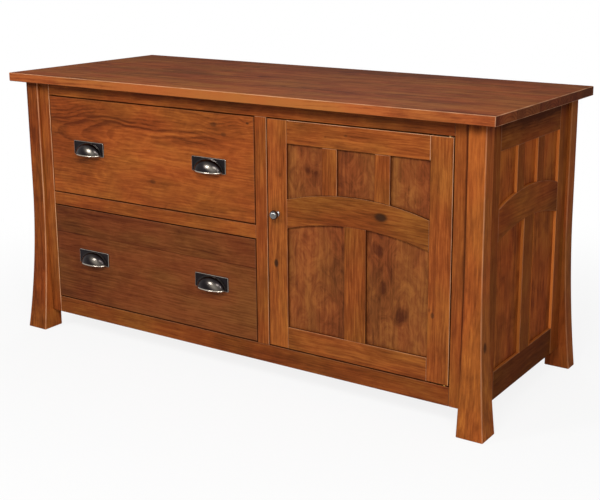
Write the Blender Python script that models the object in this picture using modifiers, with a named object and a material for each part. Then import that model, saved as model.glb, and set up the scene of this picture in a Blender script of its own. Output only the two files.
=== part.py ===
"""Mission style credenza: two file drawers on the left, a frame and panel door on the right.

The origin is on the floor under the centre of the top. X runs along the length, Y runs from
front to back and Z is up. All sizes are in metres.
"""

import math

import bmesh
import bpy
from mathutils import Matrix, Vector

# The top and the outside of the case
TOP_LENGTH = 1.510
TOP_DEPTH = 0.605
TOP_THICKNESS = 0.024
OVERALL_HEIGHT = 0.762
END_OVERHANG = 0.033
FRONT_OVERHANG = 0.031
BACK_OVERHANG = 0.015
TOP_EASE = 0.0015
EDGE_EASE = 0.0010

# The four posts, whose outer faces sweep out into wide feet
POST_WIDTH = 0.045
POST_DEPTH = 0.042
POST_FLARE = 0.025
FLARE_HEIGHT = 0.430
POST_REVEAL = 0.009

# The face frame
FRAME_THICKNESS = 0.020
STILE_WIDTH = 0.036
TOP_RAIL_HEIGHT = 0.036
DIVIDER_HEIGHT = 0.036
BOTTOM_RAIL_HEIGHT = 0.048
FLOOR_CLEARANCE = 0.056
DRAWER_OPENING_WIDTH = 0.725
TENON_LENGTH = 0.014
TENON_THICKNESS = 0.007
TENON_SHOULDER = 0.006

# The frames at the two ends
END_STILE_WIDTH = 0.056
END_TOP_RAIL_HEIGHT = 0.0765
END_BOTTOM_RAIL_HEIGHT = 0.072
END_MUNTIN_WIDTH = 0.040
END_MULLION_WIDTH = 0.060
END_ARCH_CROWN = 0.473
END_ARCH_RAIL_HEIGHT = 0.078
END_ARCH_RISE = 0.026
END_PANEL_LAP = 0.010
END_TONGUE_LENGTH = 0.008

# Boards inside the case
BOARD_THICKNESS = 0.018
HOUSING_DEPTH = 0.006
BACK_THICKNESS = 0.006
BACK_INSET = 0.009
SHELF_HEIGHT = 0.400
SHELF_SETBACK = 0.006
SHELF_END_CLEARANCE = 0.001
SHELF_PIN_RADIUS = 0.0025
SHELF_PIN_LENGTH = 0.009

# The door and its panels
FRONT_GAP = 0.003
DOOR_THICKNESS = 0.020
DOOR_STILE_WIDTH = 0.058
DOOR_RAIL_HEIGHT = 0.058
DOOR_MUNTIN_WIDTH = 0.042
DOOR_MULLION_WIDTH = 0.060
DOOR_ARCH_CROWN = 0.454
DOOR_ARCH_RAIL_HEIGHT = 0.074
DOOR_ARCH_RISE = 0.028
PANEL_RECESS = 0.0075
PANEL_THICKNESS = 0.006
GROOVE_DEPTH = 0.009
GROOVE_BED_CLEARANCE = 0.001
TONGUE_SHOULDER = 0.003

# The two pivots that carry the door, and the catch that holds it shut
PIVOT_FROM_EDGE = 0.012
PIVOT_FROM_FRONT = 0.007
PIVOT_PIN_RADIUS = 0.003
PIVOT_CLEARANCE = 0.0002
PIVOT_TIP_CLEARANCE = 0.0004
LEAF_THICKNESS = 0.0025
LEAF_WIDTH = 0.010
LEAF_FROM_PANEL_FIELD = 0.010
LEAF_BEYOND_PIN = 0.007
CATCH_WIDTH = 0.040
CATCH_DEPTH = 0.018
CATCH_HEIGHT = 0.020
CATCH_DROP = 0.030
STRIKE_WIDTH = 0.016
STRIKE_HEIGHT = 0.030
STRIKE_THICKNESS = 0.0015
STRIKE_FROM_EDGE = 0.006
KNOB_RADIUS = 0.012
KNOB_LENGTH = 0.026
KNOB_HEIGHT = 0.460
KNOB_CROWN = 0.0073
KNOB_HEAD_RADIUS = 0.0106
KNOB_HEAD_BASE = 0.0110
KNOB_HEAD_RISE = 0.0041
KNOB_NECK_RADIUS = 0.0045
KNOB_NECK_BASE = 0.0042
KNOB_FOOT_RADIUS = 0.0075
KNOB_FOOT_HEIGHT = 0.0021

# The drawers
DRAWER_FRONT_THICKNESS = 0.020
BOX_ABOVE_FRONT_EDGE = 0.012
BOX_BELOW_FRONT_TOP = 0.028
BOX_BACK_CLEARANCE = 0.0247
BOX_WALL = 0.012
BOX_BOTTOM = 0.006
BOX_BOTTOM_RISE = 0.008

# The cup pulls: a backplate, a low rim round the cup, and the hollow cup
PULL_SPACING = 0.428
CUP_WIDTH = 0.086
CUP_HEIGHT = 0.033
CUP_DEPTH = 0.023
CUP_WALL = 0.002
CUP_RIM_BESIDE = 0.006
CUP_RIM_ABOVE = 0.0025
CUP_RIM_DEPTH = 0.0018
PULL_PLATE = 0.0025
PULL_PLATE_EDGE = 0.0008
PULL_CORNER = 0.003
PULL_BESIDE_RIM = 0.007
PULL_ABOVE_RIM = 0.002
PULL_BELOW_LIP = 0.002
CUP_RIM_ABOVE_LIP = 0.0006
CUP_SEAT_DEPTH = 0.0004

# The telescoping slides: three channels, one inside the other
SLIDE_SPACE = 0.0127
SLIDE_SETBACK = 0.002
SLIDE_BACK_CLEARANCE = 0.013
SLIDE_STEEL = 0.0012
SLIDE_HEIGHT = 0.0450
SLIDE_RUNNING_GAP = 0.0005
SLIDE_FLANGE_TIP = 0.0012
SLIDE_MIDDLE_SHORTER = 0.020

# The gap that is left between faces that are glued or that rest on each other
JOINT_GAP = 0.0003

# How finely arcs and round pieces are divided
FLARE_STEPS = 12
ARCH_STEPS = 16
WIDE_OPENING_STEPS = 8
NARROW_OPENING_STEPS = 6
UPRIGHT_STEPS = 4
CORNER_STEPS = 4
PIN_SEGMENTS = 12
ROD_SEGMENTS = 32
DOME_SEGMENTS = 32
DOME_RINGS = 15
RIM_STEPS = 20
KNOB_SEGMENTS = 28
KNOB_CROWN_STEPS = 6

# Heights and widths that follow from the sizes above
CASE_TOP = OVERALL_HEIGHT - TOP_THICKNESS
POST_OUTER_X = TOP_LENGTH / 2 - END_OVERHANG
POST_INNER_X = POST_OUTER_X - POST_WIDTH
FRONT_POST_Y = -TOP_DEPTH / 2 + FRONT_OVERHANG
FRONT_POST_BACK_Y = FRONT_POST_Y + POST_DEPTH
CASE_BACK_Y = TOP_DEPTH / 2 - BACK_OVERHANG
BACK_POST_Y = CASE_BACK_Y - POST_DEPTH
FRAME_FRONT_Y = FRONT_POST_Y + POST_REVEAL
FRAME_BACK_Y = FRAME_FRONT_Y + FRAME_THICKNESS
END_OUTER_X = POST_OUTER_X - POST_REVEAL
END_INNER_X = END_OUTER_X - FRAME_THICKNESS
END_PANEL_X = END_OUTER_X - PANEL_RECESS
OPENING_BOTTOM = FLOOR_CLEARANCE + BOTTOM_RAIL_HEIGHT
OPENING_TOP = CASE_TOP - TOP_RAIL_HEIGHT
DRAWER_OPENING_HEIGHT = (OPENING_TOP - OPENING_BOTTOM - DIVIDER_HEIGHT) / 2
DRAWER_BAY_LEFT = -POST_INNER_X + STILE_WIDTH
DRAWER_BAY_RIGHT = DRAWER_BAY_LEFT + DRAWER_OPENING_WIDTH
DOOR_BAY_LEFT = DRAWER_BAY_RIGHT + STILE_WIDTH
DOOR_BAY_RIGHT = POST_INNER_X - STILE_WIDTH
PARTITION_RIGHT = DRAWER_BAY_RIGHT + BOARD_THICKNESS
BACK_PANEL_Y = CASE_BACK_Y - BACK_INSET - BACK_THICKNESS

DOOR_LEFT = DOOR_BAY_LEFT + FRONT_GAP
DOOR_RIGHT = DOOR_BAY_RIGHT - FRONT_GAP
DOOR_BOTTOM = OPENING_BOTTOM + FRONT_GAP
DOOR_TOP = OPENING_TOP - FRONT_GAP
DOOR_BACK_Y = FRAME_FRONT_Y + DOOR_THICKNESS
DOOR_CENTRE_X = (DOOR_LEFT + DOOR_RIGHT) / 2
PANEL_FIELD_LEFT = DOOR_LEFT + DOOR_STILE_WIDTH
PANEL_FIELD_RIGHT = DOOR_RIGHT - DOOR_STILE_WIDTH
PANEL_FIELD_BOTTOM = DOOR_BOTTOM + DOOR_RAIL_HEIGHT
PANEL_FIELD_TOP = DOOR_TOP - DOOR_RAIL_HEIGHT
PANEL_FRONT_Y = FRAME_FRONT_Y + PANEL_RECESS
PANEL_BACK_Y = PANEL_FRONT_Y + PANEL_THICKNESS
PANEL_EDGE = GROOVE_DEPTH - GROOVE_BED_CLEARANCE
PIVOT_X = DOOR_RIGHT - PIVOT_FROM_EDGE
PIVOT_Y = FRAME_FRONT_Y + PIVOT_FROM_FRONT

DRAWER_BACK_Y = FRAME_FRONT_Y + DRAWER_FRONT_THICKNESS
CUP_RIM_WIDTH = CUP_WIDTH + 2 * CUP_RIM_BESIDE
CUP_RIM_HEIGHT = CUP_HEIGHT + CUP_RIM_ABOVE
PULL_WIDTH = CUP_RIM_WIDTH + 2 * PULL_BESIDE_RIM
PULL_HEIGHT = PULL_BELOW_LIP + CUP_RIM_HEIGHT + PULL_ABOVE_RIM

# How far a joined shape reaches into its piece, and a cutter past the face it cuts
WOOD_OVERLAP = 0.002
CUT_OVERRUN = 0.002


def clear_scene():
    """Remove whatever objects the scene holds."""
    for old in list(bpy.data.objects):
        bpy.data.objects.remove(old, do_unlink=True)


def new_collection(name):
    collection = bpy.data.collections.new(name)
    bpy.context.scene.collection.children.link(collection)
    return collection


clear_scene()
PARTS = new_collection("credenza")
CUTTERS = new_collection("cutters")

# Finishes: colour, roughness and how metallic each one is
FINISHES = {
    "cherry_top": ((0.235, 0.085, 0.040, 1), 0.32, 0.0),
    "cherry_post": ((0.290, 0.090, 0.030, 1), 0.38, 0.0),
    "cherry_frame": ((0.280, 0.085, 0.028, 1), 0.38, 0.0),
    "cherry_front": ((0.330, 0.100, 0.030, 1), 0.38, 0.0),
    "cherry_panel": ((0.270, 0.075, 0.025, 1), 0.38, 0.0),
    "cherry_board": ((0.380, 0.170, 0.075, 1), 0.50, 0.0),
    "maple_box": ((0.620, 0.430, 0.240, 1), 0.45, 0.0),
    "zinc_steel": ((0.560, 0.570, 0.580, 1), 0.30, 1.0),
    "black_nickel": ((0.030, 0.030, 0.033, 1), 0.14, 1.0),
    "polished_nickel": ((0.620, 0.610, 0.600, 1), 0.10, 1.0),
    "brass": ((0.560, 0.400, 0.160, 1), 0.28, 1.0),
    "catch_plastic": ((0.180, 0.100, 0.060, 1), 0.45, 0.0),
}


def finish(name):
    """The material of that name, made the first time it is asked for."""
    found = bpy.data.materials.get(name)
    if found:
        return found
    colour, roughness, metallic = FINISHES[name]
    material = bpy.data.materials.new(name)
    material.use_nodes = True
    shader = material.node_tree.nodes["Principled BSDF"]
    shader.inputs["Base Color"].default_value = colour
    shader.inputs["Roughness"].default_value = roughness
    shader.inputs["Metallic"].default_value = metallic
    return material


def add_object(name, data, material_name, location=(0, 0, 0)):
    """Put a piece in the credenza's collection, or a cutter where no finish is named."""
    piece = bpy.data.objects.new(name, data)
    piece.location = location
    if material_name:
        data.materials.append(finish(material_name))
        PARTS.objects.link(piece)
    else:
        CUTTERS.objects.link(piece)
        piece.hide_render = True
        piece.display_type = "WIRE"
    return piece


def block(name, low, high, material_name=None):
    """A square block between two corners, with its origin at its centre."""
    size = Vector(high) - Vector(low)
    centre = (Vector(high) + Vector(low)) / 2
    mesh = bpy.data.meshes.new(name)
    shape = bmesh.new()
    bmesh.ops.create_cube(shape, size=1.0, matrix=Matrix.Diagonal((*size, 1)))
    shape.to_mesh(mesh)
    shape.free()
    return add_object(name, mesh, material_name, centre)


def rod(name, base, length, radius, direction, material_name=None, segments=ROD_SEGMENTS):
    """A round rod that starts at base and runs along direction."""
    mesh = bpy.data.meshes.new(name)
    shape = bmesh.new()
    lift = Matrix.Translation((0, 0, length / 2))
    bmesh.ops.create_cone(shape, cap_ends=True, segments=segments, radius1=radius,
                          radius2=radius, depth=length, matrix=lift)
    turn = Vector((0, 0, 1)).rotation_difference(Vector(direction)).to_matrix().to_4x4()
    bmesh.ops.transform(shape, matrix=turn, verts=shape.verts)
    shape.to_mesh(mesh)
    shape.free()
    return add_object(name, mesh, material_name, base)


def trim(shape, point, outward):
    """Cut a bmesh off at a plane, and close it there."""
    geometry = shape.verts[:] + shape.edges[:] + shape.faces[:]
    result = bmesh.ops.bisect_plane(shape, geom=geometry, dist=0.000001, plane_co=point,
                                    plane_no=outward, clear_outer=True)
    rim = [part for part in result["geom_cut"] if isinstance(part, bmesh.types.BMEdge)]
    bmesh.ops.holes_fill(shape, edges=rim)


def dome(name, centre, radii, back_y, bottom_z=None):
    """What lies in front of back_y, and above bottom_z, of a ball stretched to three radii."""
    mesh = bpy.data.meshes.new(name)
    shape = bmesh.new()
    stretch = Matrix.Diagonal((*radii, 1))
    bmesh.ops.create_uvsphere(shape, u_segments=DOME_SEGMENTS, v_segments=DOME_RINGS,
                              radius=1.0, matrix=stretch)
    trim(shape, (0, back_y - centre[1], 0), (0, 1, 0))
    if bottom_z is not None:
        trim(shape, (0, 0, bottom_z - centre[2]), (0, 0, -1))
    bmesh.ops.recalc_face_normals(shape, faces=shape.faces)
    shape.to_mesh(mesh)
    shape.free()
    return add_object(name, mesh, None, centre)


# How a flat outline is turned so that its thickness runs along an axis
OUTLINE_TURN = {
    "X": (math.radians(90), 0, math.radians(90)),
    "Y": (math.radians(90), 0, 0),
}


def plate(name, outline, axis, start, thickness, material_name=None):
    """A flat outline of x, z points (or y, z where axis is X) given a thickness along axis."""
    curve = bpy.data.curves.new(name + "_outline", "CURVE")
    curve.dimensions = "2D"
    curve.fill_mode = "BOTH"
    curve.extrude = thickness / 2
    spline = curve.splines.new("POLY")
    spline.points.add(len(outline) - 1)
    for point, (across, height) in zip(spline.points, outline):
        point.co = (across, height, 0, 1)
    spline.use_cyclic_u = True
    guide = bpy.data.objects.new(name + "_outline", curve)
    bpy.context.scene.collection.objects.link(guide)
    guide.rotation_euler = OUTLINE_TURN[axis]
    middle = start + thickness / 2
    guide.location = (middle, 0, 0) if axis == "X" else (0, middle, 0)
    bpy.context.view_layer.update()
    evaluated = guide.evaluated_get(bpy.context.evaluated_depsgraph_get())
    mesh = bpy.data.meshes.new_from_object(evaluated)
    mesh.name = name
    mesh.materials.clear()
    shape = bmesh.new()
    shape.from_mesh(mesh)
    bmesh.ops.remove_doubles(shape, verts=shape.verts, dist=0.00001)
    bmesh.ops.recalc_face_normals(shape, faces=shape.faces)
    shape.to_mesh(mesh)
    shape.free()
    piece = add_object(name, mesh, material_name)
    piece.matrix_world = guide.matrix_world
    bpy.data.objects.remove(guide, do_unlink=True)
    return piece


def combine(target, tool, operation):
    """Join a tool to a piece, cut it away, or keep what they share. The tool moves with it."""
    modifier = target.modifiers.new(tool.name, "BOOLEAN")
    modifier.operation = operation
    modifier.solver = "EXACT"
    modifier.object = tool
    bpy.context.view_layer.update()
    tool.parent = target
    tool.matrix_parent_inverse = target.matrix_world.inverted()


def cut(target, tool):
    combine(target, tool, "DIFFERENCE")


def join(target, tool):
    combine(target, tool, "UNION")


def keep(target, tool):
    combine(target, tool, "INTERSECT")


def ease(piece, width):
    """Take the sharpness off a board's edges."""
    bevel = piece.modifiers.new("eased_edges", "BEVEL")
    bevel.width = width
    bevel.segments = 1
    bevel.limit_method = "ANGLE"
    bevel.angle_limit = math.radians(30)


def board(name, low, high, material_name, eased=EDGE_EASE):
    """A block of wood with its edges eased."""
    piece = block(name, low, high, material_name)
    ease(piece, eased)
    return piece


def grow(low, high, gap):
    """The corners of a box that is larger by a gap on every side."""
    wider = Vector((gap, gap, gap))
    return Vector(low) - wider, Vector(high) + wider


def tenon(piece, socket, low, high):
    """A tenon on one piece, and the mortise for it in the other."""
    label = piece.name + "_tenon_in_" + socket.name
    join(piece, block(label, low, high))
    cut(socket, block(label + "_mortise", *grow(low, high, JOINT_GAP)))


def carry(name, location, pieces):
    """An empty on a joint's axis, with the pieces that move about it."""
    empty = bpy.data.objects.new(name, None)
    empty.location = location
    PARTS.objects.link(empty)
    bpy.context.view_layer.update()
    for piece in pieces:
        piece.parent = empty
        piece.matrix_parent_inverse = empty.matrix_world.inverted()


def flare_offset(height):
    """How far a post's outer face stands out at a height: an arc that meets the straight part."""
    below = max(FLARE_HEIGHT - height, 0)
    radius = (FLARE_HEIGHT ** 2 + POST_FLARE ** 2) / (2 * POST_FLARE)
    return radius - math.sqrt(radius ** 2 - below ** 2)


def post_outline(inner, outer):
    """A post seen square on: straight inside, swept out at the foot on the outer side."""
    outward = math.copysign(1, outer - inner)
    top = CASE_TOP - JOINT_GAP
    outline = [(inner, top), (inner, 0)]
    for step in range(FLARE_STEPS + 1):
        height = FLARE_HEIGHT * step / FLARE_STEPS
        outline.append((outer + outward * flare_offset(height), height))
    outline.append((outer, top))
    return outline


def make_post(side, side_name, front):
    """One corner post. The front ones are swept on two faces, the back ones on the outer one."""
    name = ("post_front_" if front else "post_back_") + side_name
    front_y = FRONT_POST_Y if front else BACK_POST_Y
    reach = POST_FLARE + CUT_OVERRUN
    start = front_y - reach if front else front_y
    length = POST_DEPTH + reach if front else POST_DEPTH
    seen_from_front = post_outline(side * POST_INNER_X, side * POST_OUTER_X)
    post = plate(name, seen_from_front, "Y", start, length, "cherry_post")
    if front:
        seen_from_side = post_outline(FRONT_POST_BACK_Y, FRONT_POST_Y)
        width = POST_WIDTH + POST_FLARE + 2 * CUT_OVERRUN
        low_x = min(side * (POST_INNER_X - CUT_OVERRUN),
                    side * (POST_OUTER_X + POST_FLARE + CUT_OVERRUN))
        keep(post, plate(name + "_side_sweep", seen_from_side, "X", low_x, width))
    ease(post, EDGE_EASE)
    return post


def make_posts():
    posts = {}
    for side, side_name in ((-1, "left"), (1, "right")):
        for front in (True, False):
            posts[side, front] = make_post(side, side_name, front)
    return posts


def make_top():
    low = (-TOP_LENGTH / 2, -TOP_DEPTH / 2, CASE_TOP)
    high = (TOP_LENGTH / 2, TOP_DEPTH / 2, OVERALL_HEIGHT)
    board("top", low, high, "cherry_top", TOP_EASE)


def rail_tenon(rail, stile, shoulder_x, side, low_z, high_z):
    """A tenon on a rail's end, in the middle of its thickness."""
    middle = FRAME_FRONT_Y + FRAME_THICKNESS / 2
    inside = shoulder_x - side * WOOD_OVERLAP
    tip = shoulder_x + side * TENON_LENGTH
    low = (min(inside, tip), middle - TENON_THICKNESS / 2, low_z + TENON_SHOULDER)
    high = (max(inside, tip), middle + TENON_THICKNESS / 2, high_z - TENON_SHOULDER)
    tenon(rail, stile, low, high)


def make_face_frame():
    """Three stiles and three rails round the openings, with tenons at the rails' ends."""
    front, back = FRAME_FRONT_Y, FRAME_BACK_Y
    top = CASE_TOP - JOINT_GAP
    outer = POST_INNER_X - JOINT_GAP
    left = board("stile_left", (-outer, front, FLOOR_CLEARANCE),
                 (DRAWER_BAY_LEFT, back, top), "cherry_frame")
    right = board("stile_right", (DOOR_BAY_RIGHT, front, FLOOR_CLEARANCE),
                  (outer, back, top), "cherry_frame")
    middle = board("stile_middle",
                   (DRAWER_BAY_RIGHT, front, OPENING_BOTTOM + JOINT_GAP),
                   (DOOR_BAY_LEFT, back, OPENING_TOP - JOINT_GAP), "cherry_frame")
    long_rails = (("rail_top", OPENING_TOP, top),
                  ("rail_bottom", FLOOR_CLEARANCE, OPENING_BOTTOM))
    rails = {}
    for name, low_z, high_z in long_rails:
        rail = board(name, (DRAWER_BAY_LEFT + JOINT_GAP, front, low_z),
                     (DOOR_BAY_RIGHT - JOINT_GAP, back, high_z), "cherry_frame")
        rail_tenon(rail, left, DRAWER_BAY_LEFT + JOINT_GAP, -1, low_z, high_z)
        rail_tenon(rail, right, DOOR_BAY_RIGHT - JOINT_GAP, 1, low_z, high_z)
        rails[name] = rail
    divider_low = OPENING_BOTTOM + DRAWER_OPENING_HEIGHT
    divider_high = divider_low + DIVIDER_HEIGHT
    divider = board("rail_divider", (DRAWER_BAY_LEFT + JOINT_GAP, front, divider_low),
                    (DRAWER_BAY_RIGHT - JOINT_GAP, back, divider_high), "cherry_frame")
    rail_tenon(divider, left, DRAWER_BAY_LEFT + JOINT_GAP, -1, divider_low, divider_high)
    rail_tenon(divider, middle, DRAWER_BAY_RIGHT - JOINT_GAP, 1, divider_low, divider_high)
    centre_y = FRAME_FRONT_Y + FRAME_THICKNESS / 2
    for rail, shoulder_z, up in ((rails["rail_top"], OPENING_TOP - JOINT_GAP, 1),
                                 (rails["rail_bottom"], OPENING_BOTTOM + JOINT_GAP, -1)):
        inside = shoulder_z - up * WOOD_OVERLAP
        tip = shoulder_z + up * TENON_LENGTH
        low = (DRAWER_BAY_RIGHT + TENON_SHOULDER, centre_y - TENON_THICKNESS / 2,
               min(inside, tip))
        high = (DOOR_BAY_LEFT - TENON_SHOULDER, centre_y + TENON_THICKNESS / 2,
                max(inside, tip))
        tenon(middle, rail, low, high)
    return rails


def arch_height(across, centre, half_span, rise, crown):
    """Height of a round arch at a place across its span."""
    radius = (half_span ** 2 + rise ** 2) / (2 * rise)
    return crown - radius + math.sqrt(radius ** 2 - (across - centre) ** 2)


def steps_between(start, end, count=ARCH_STEPS):
    return [start + (end - start) * step / count for step in range(count + 1)]


def end_arch(across):
    """The lower edge of the arched rail in an end frame."""
    centre = (FRONT_POST_BACK_Y + BACK_POST_Y) / 2
    half_span = (BACK_POST_Y - FRONT_POST_BACK_Y) / 2 - END_STILE_WIDTH
    return arch_height(across, centre, half_span, END_ARCH_RISE, END_ARCH_CROWN)


def end_openings():
    """Outlines of the five openings in an end frame: three over the arched rail, two under."""
    field_front = FRONT_POST_BACK_Y + END_STILE_WIDTH
    field_back = BACK_POST_Y - END_STILE_WIDTH
    field_top = CASE_TOP - END_TOP_RAIL_HEIGHT
    field_bottom = FLOOR_CLEARANCE + END_BOTTOM_RAIL_HEIGHT
    outlines = []
    upper_width = (field_back - field_front - 2 * END_MUNTIN_WIDTH) / 3
    for index in range(3):
        near = field_front + index * (upper_width + END_MUNTIN_WIDTH)
        far = near + upper_width
        arc = [(y, end_arch(y) + END_ARCH_RAIL_HEIGHT)
               for y in steps_between(near, far, NARROW_OPENING_STEPS)]
        outlines.append(arc + [(far, field_top), (near, field_top)])
    lower_width = (field_back - field_front - END_MULLION_WIDTH) / 2
    for index in range(2):
        near = field_front + index * (lower_width + END_MULLION_WIDTH)
        far = near + lower_width
        arc = [(y, end_arch(y)) for y in steps_between(far, near, WIDE_OPENING_STEPS)]
        outlines.append([(near, field_bottom), (far, field_bottom)] + arc)
    return outlines


def x_range(side, inner, outer):
    """The low and high x of something that lies between two distances from the middle."""
    return min(side * inner, side * outer), max(side * inner, side * outer)


def make_end(side, side_name, posts):
    """One end: an arched frame, and the board that is let into its back as the panels."""
    low_y = FRONT_POST_BACK_Y + JOINT_GAP
    high_y = BACK_POST_Y - JOINT_GAP
    low_x, high_x = x_range(side, END_INNER_X, END_OUTER_X)
    name = "end_frame_" + side_name
    frame = board(name, (low_x, low_y, FLOOR_CLEARANCE),
                  (high_x, high_y, CASE_TOP - JOINT_GAP), "cherry_frame")
    for number, outline in enumerate(end_openings()):
        through = FRAME_THICKNESS + 2 * CUT_OVERRUN
        cut(frame, plate(f"{name}_opening_{number}", outline, "X", low_x - CUT_OVERRUN, through))
    panel_low_y = FRONT_POST_BACK_Y + END_STILE_WIDTH - END_PANEL_LAP
    panel_high_y = BACK_POST_Y - END_STILE_WIDTH + END_PANEL_LAP
    panel_low_z = FLOOR_CLEARANCE + END_BOTTOM_RAIL_HEIGHT - END_PANEL_LAP
    panel_high_z = CASE_TOP - END_TOP_RAIL_HEIGHT + END_PANEL_LAP
    seat_x = x_range(side, END_INNER_X - CUT_OVERRUN, END_PANEL_X + JOINT_GAP)
    cut(frame, block(name + "_panel_seat",
                     (seat_x[0], panel_low_y - JOINT_GAP, panel_low_z - JOINT_GAP),
                     (seat_x[1], panel_high_y + JOINT_GAP, panel_high_z + JOINT_GAP)))
    housing_x = x_range(side, END_INNER_X - CUT_OVERRUN, END_INNER_X + HOUSING_DEPTH)
    cut(frame, block(name + "_bottom_housing",
                     (housing_x[0], low_y - CUT_OVERRUN,
                      OPENING_BOTTOM - BOARD_THICKNESS - JOINT_GAP),
                     (housing_x[1], high_y + CUT_OVERRUN, OPENING_BOTTOM + JOINT_GAP)))
    middle_x = side * (END_OUTER_X - FRAME_THICKNESS / 2)
    for post, shoulder_y, way in ((posts[side, True], low_y, -1),
                                  (posts[side, False], high_y, 1)):
        inside = shoulder_y - way * WOOD_OVERLAP
        tip = shoulder_y + way * END_TONGUE_LENGTH
        tenon(frame, post,
              (middle_x - TENON_THICKNESS / 2, min(inside, tip),
               FLOOR_CLEARANCE + END_BOTTOM_RAIL_HEIGHT),
              (middle_x + TENON_THICKNESS / 2, max(inside, tip),
               CASE_TOP - END_TOP_RAIL_HEIGHT))
    panel_x = x_range(side, END_PANEL_X - PANEL_THICKNESS, END_PANEL_X)
    block("end_panel_" + side_name, (panel_x[0], panel_low_y, panel_low_z),
          (panel_x[1], panel_high_y, panel_high_z), "cherry_panel")
    return frame


def make_case_boards(posts, end_right):
    """The boards inside: bottom, back, partition, the side of the drawer bay and the shelf."""
    back_reach = POST_INNER_X + HOUSING_DEPTH
    back_low = (-back_reach, BACK_PANEL_Y, FLOOR_CLEARANCE)
    back_high = (back_reach, BACK_PANEL_Y + BACK_THICKNESS, CASE_TOP - JOINT_GAP)
    block("back_panel", back_low, back_high, "cherry_board")
    for side in (-1, 1):
        post = posts[side, False]
        groove_x = x_range(side, POST_INNER_X - CUT_OVERRUN, back_reach + JOINT_GAP)
        cut(post, block(post.name + "_back_groove",
                        (groove_x[0], BACK_PANEL_Y - JOINT_GAP, FLOOR_CLEARANCE - JOINT_GAP),
                        (groove_x[1], BACK_PANEL_Y + BACK_THICKNESS + JOINT_GAP,
                         CASE_TOP + CUT_OVERRUN)))

    reach = END_INNER_X + HOUSING_DEPTH - JOINT_GAP
    front_y = FRAME_BACK_Y + JOINT_GAP
    back_y = BACK_PANEL_Y - JOINT_GAP
    bottom = block("bottom_board", (-reach, front_y, OPENING_BOTTOM - BOARD_THICKNESS),
                   (reach, back_y, OPENING_BOTTOM), "cherry_board")
    for side, side_name in ((-1, "left"), (1, "right")):
        corner_x = x_range(side, POST_INNER_X - JOINT_GAP, reach + CUT_OVERRUN)
        for corner, low_y, high_y in (
                ("front", front_y - CUT_OVERRUN, FRONT_POST_BACK_Y + JOINT_GAP),
                ("back", BACK_POST_Y - JOINT_GAP, back_y + CUT_OVERRUN)):
            cut(bottom, block(f"bottom_notch_{corner}_{side_name}",
                              (corner_x[0], low_y, OPENING_BOTTOM - 2 * BOARD_THICKNESS),
                              (corner_x[1], high_y, OPENING_BOTTOM + BOARD_THICKNESS)))

    low_z = OPENING_BOTTOM + JOINT_GAP
    top = CASE_TOP - JOINT_GAP
    partition = block("partition", (DRAWER_BAY_RIGHT, front_y, low_z),
                      (PARTITION_RIGHT, back_y, top), "cherry_board")
    block("drawer_bay_side", (DRAWER_BAY_LEFT - BOARD_THICKNESS, front_y, low_z),
          (DRAWER_BAY_LEFT, back_y, top), "cherry_board")

    shelf_front = FRONT_POST_BACK_Y + SHELF_SETBACK
    shelf_back = BACK_POST_Y - SHELF_SETBACK
    pin_inset = (END_STILE_WIDTH - END_PANEL_LAP) / 2
    shelf_low = (PARTITION_RIGHT + SHELF_END_CLEARANCE, shelf_front, SHELF_HEIGHT)
    shelf_high = (END_INNER_X - SHELF_END_CLEARANCE, shelf_back, SHELF_HEIGHT + BOARD_THICKNESS)
    board("shelf", shelf_low, shelf_high, "cherry_board")
    pin_z = SHELF_HEIGHT - JOINT_GAP - SHELF_PIN_RADIUS
    for number, pin_y in enumerate((FRONT_POST_BACK_Y + pin_inset, BACK_POST_Y - pin_inset)):
        for holder, wall_x, way in ((partition, PARTITION_RIGHT, 1),
                                    (end_right, END_INNER_X, -1)):
            base = (wall_x - way * WOOD_OVERLAP, pin_y, pin_z)
            join(holder, rod(f"{holder.name}_shelf_pin_{number}", base,
                             SHELF_PIN_LENGTH + WOOD_OVERLAP, SHELF_PIN_RADIUS, (way, 0, 0),
                             segments=PIN_SEGMENTS))


def door_arch(across):
    """The lower edge of the door's arched rail, level beyond the ends of its span."""
    half_span = (PANEL_FIELD_RIGHT - PANEL_FIELD_LEFT) / 2
    inside = min(max(across, PANEL_FIELD_LEFT), PANEL_FIELD_RIGHT)
    return arch_height(inside, DOOR_CENTRE_X, half_span, DOOR_ARCH_RISE, DOOR_ARCH_CROWN)


def door_arch_top(across):
    return door_arch(across) + DOOR_ARCH_RAIL_HEIGHT


def groove_y():
    """Front and back of the groove that a panel's edge sits in."""
    return PANEL_FRONT_Y - JOINT_GAP, PANEL_BACK_Y + JOINT_GAP


def groove(member, low_x, high_x, low_z, high_z, label):
    """Cut a straight panel groove in a member of the door's frame."""
    low_y, high_y = groove_y()
    cut(member, block(f"{member.name}_groove_{label}", (low_x, low_y, low_z),
                      (high_x, high_y, high_z)))


def tongue(member, low_x, high_x, low_z, high_z, label):
    """Join a tongue, as thick as a panel, that sits in another member's groove."""
    join(member, block(f"{member.name}_tongue_{label}", (low_x, PANEL_FRONT_Y, low_z),
                       (high_x, PANEL_BACK_Y, high_z)))


def make_door_stile(name, low_x, high_x, inner_x, way):
    stile = board(name, (low_x, FRAME_FRONT_Y, DOOR_BOTTOM), (high_x, DOOR_BACK_Y, DOOR_TOP),
                  "cherry_front")
    cut_x = sorted((inner_x - way * GROOVE_DEPTH, inner_x + way * CUT_OVERRUN))
    groove(stile, cut_x[0], cut_x[1], DOOR_BOTTOM - CUT_OVERRUN, DOOR_TOP + CUT_OVERRUN, "panel")
    return stile


def rail_tongues(rail, low_z, high_z):
    """The tongues at both ends of a rail, in the grooves of the stiles."""
    tongue(rail, PANEL_FIELD_LEFT - PANEL_EDGE, PANEL_FIELD_LEFT + WOOD_OVERLAP,
           low_z, high_z, "left")
    tongue(rail, PANEL_FIELD_RIGHT - WOOD_OVERLAP, PANEL_FIELD_RIGHT + PANEL_EDGE,
           low_z, high_z, "right")


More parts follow.
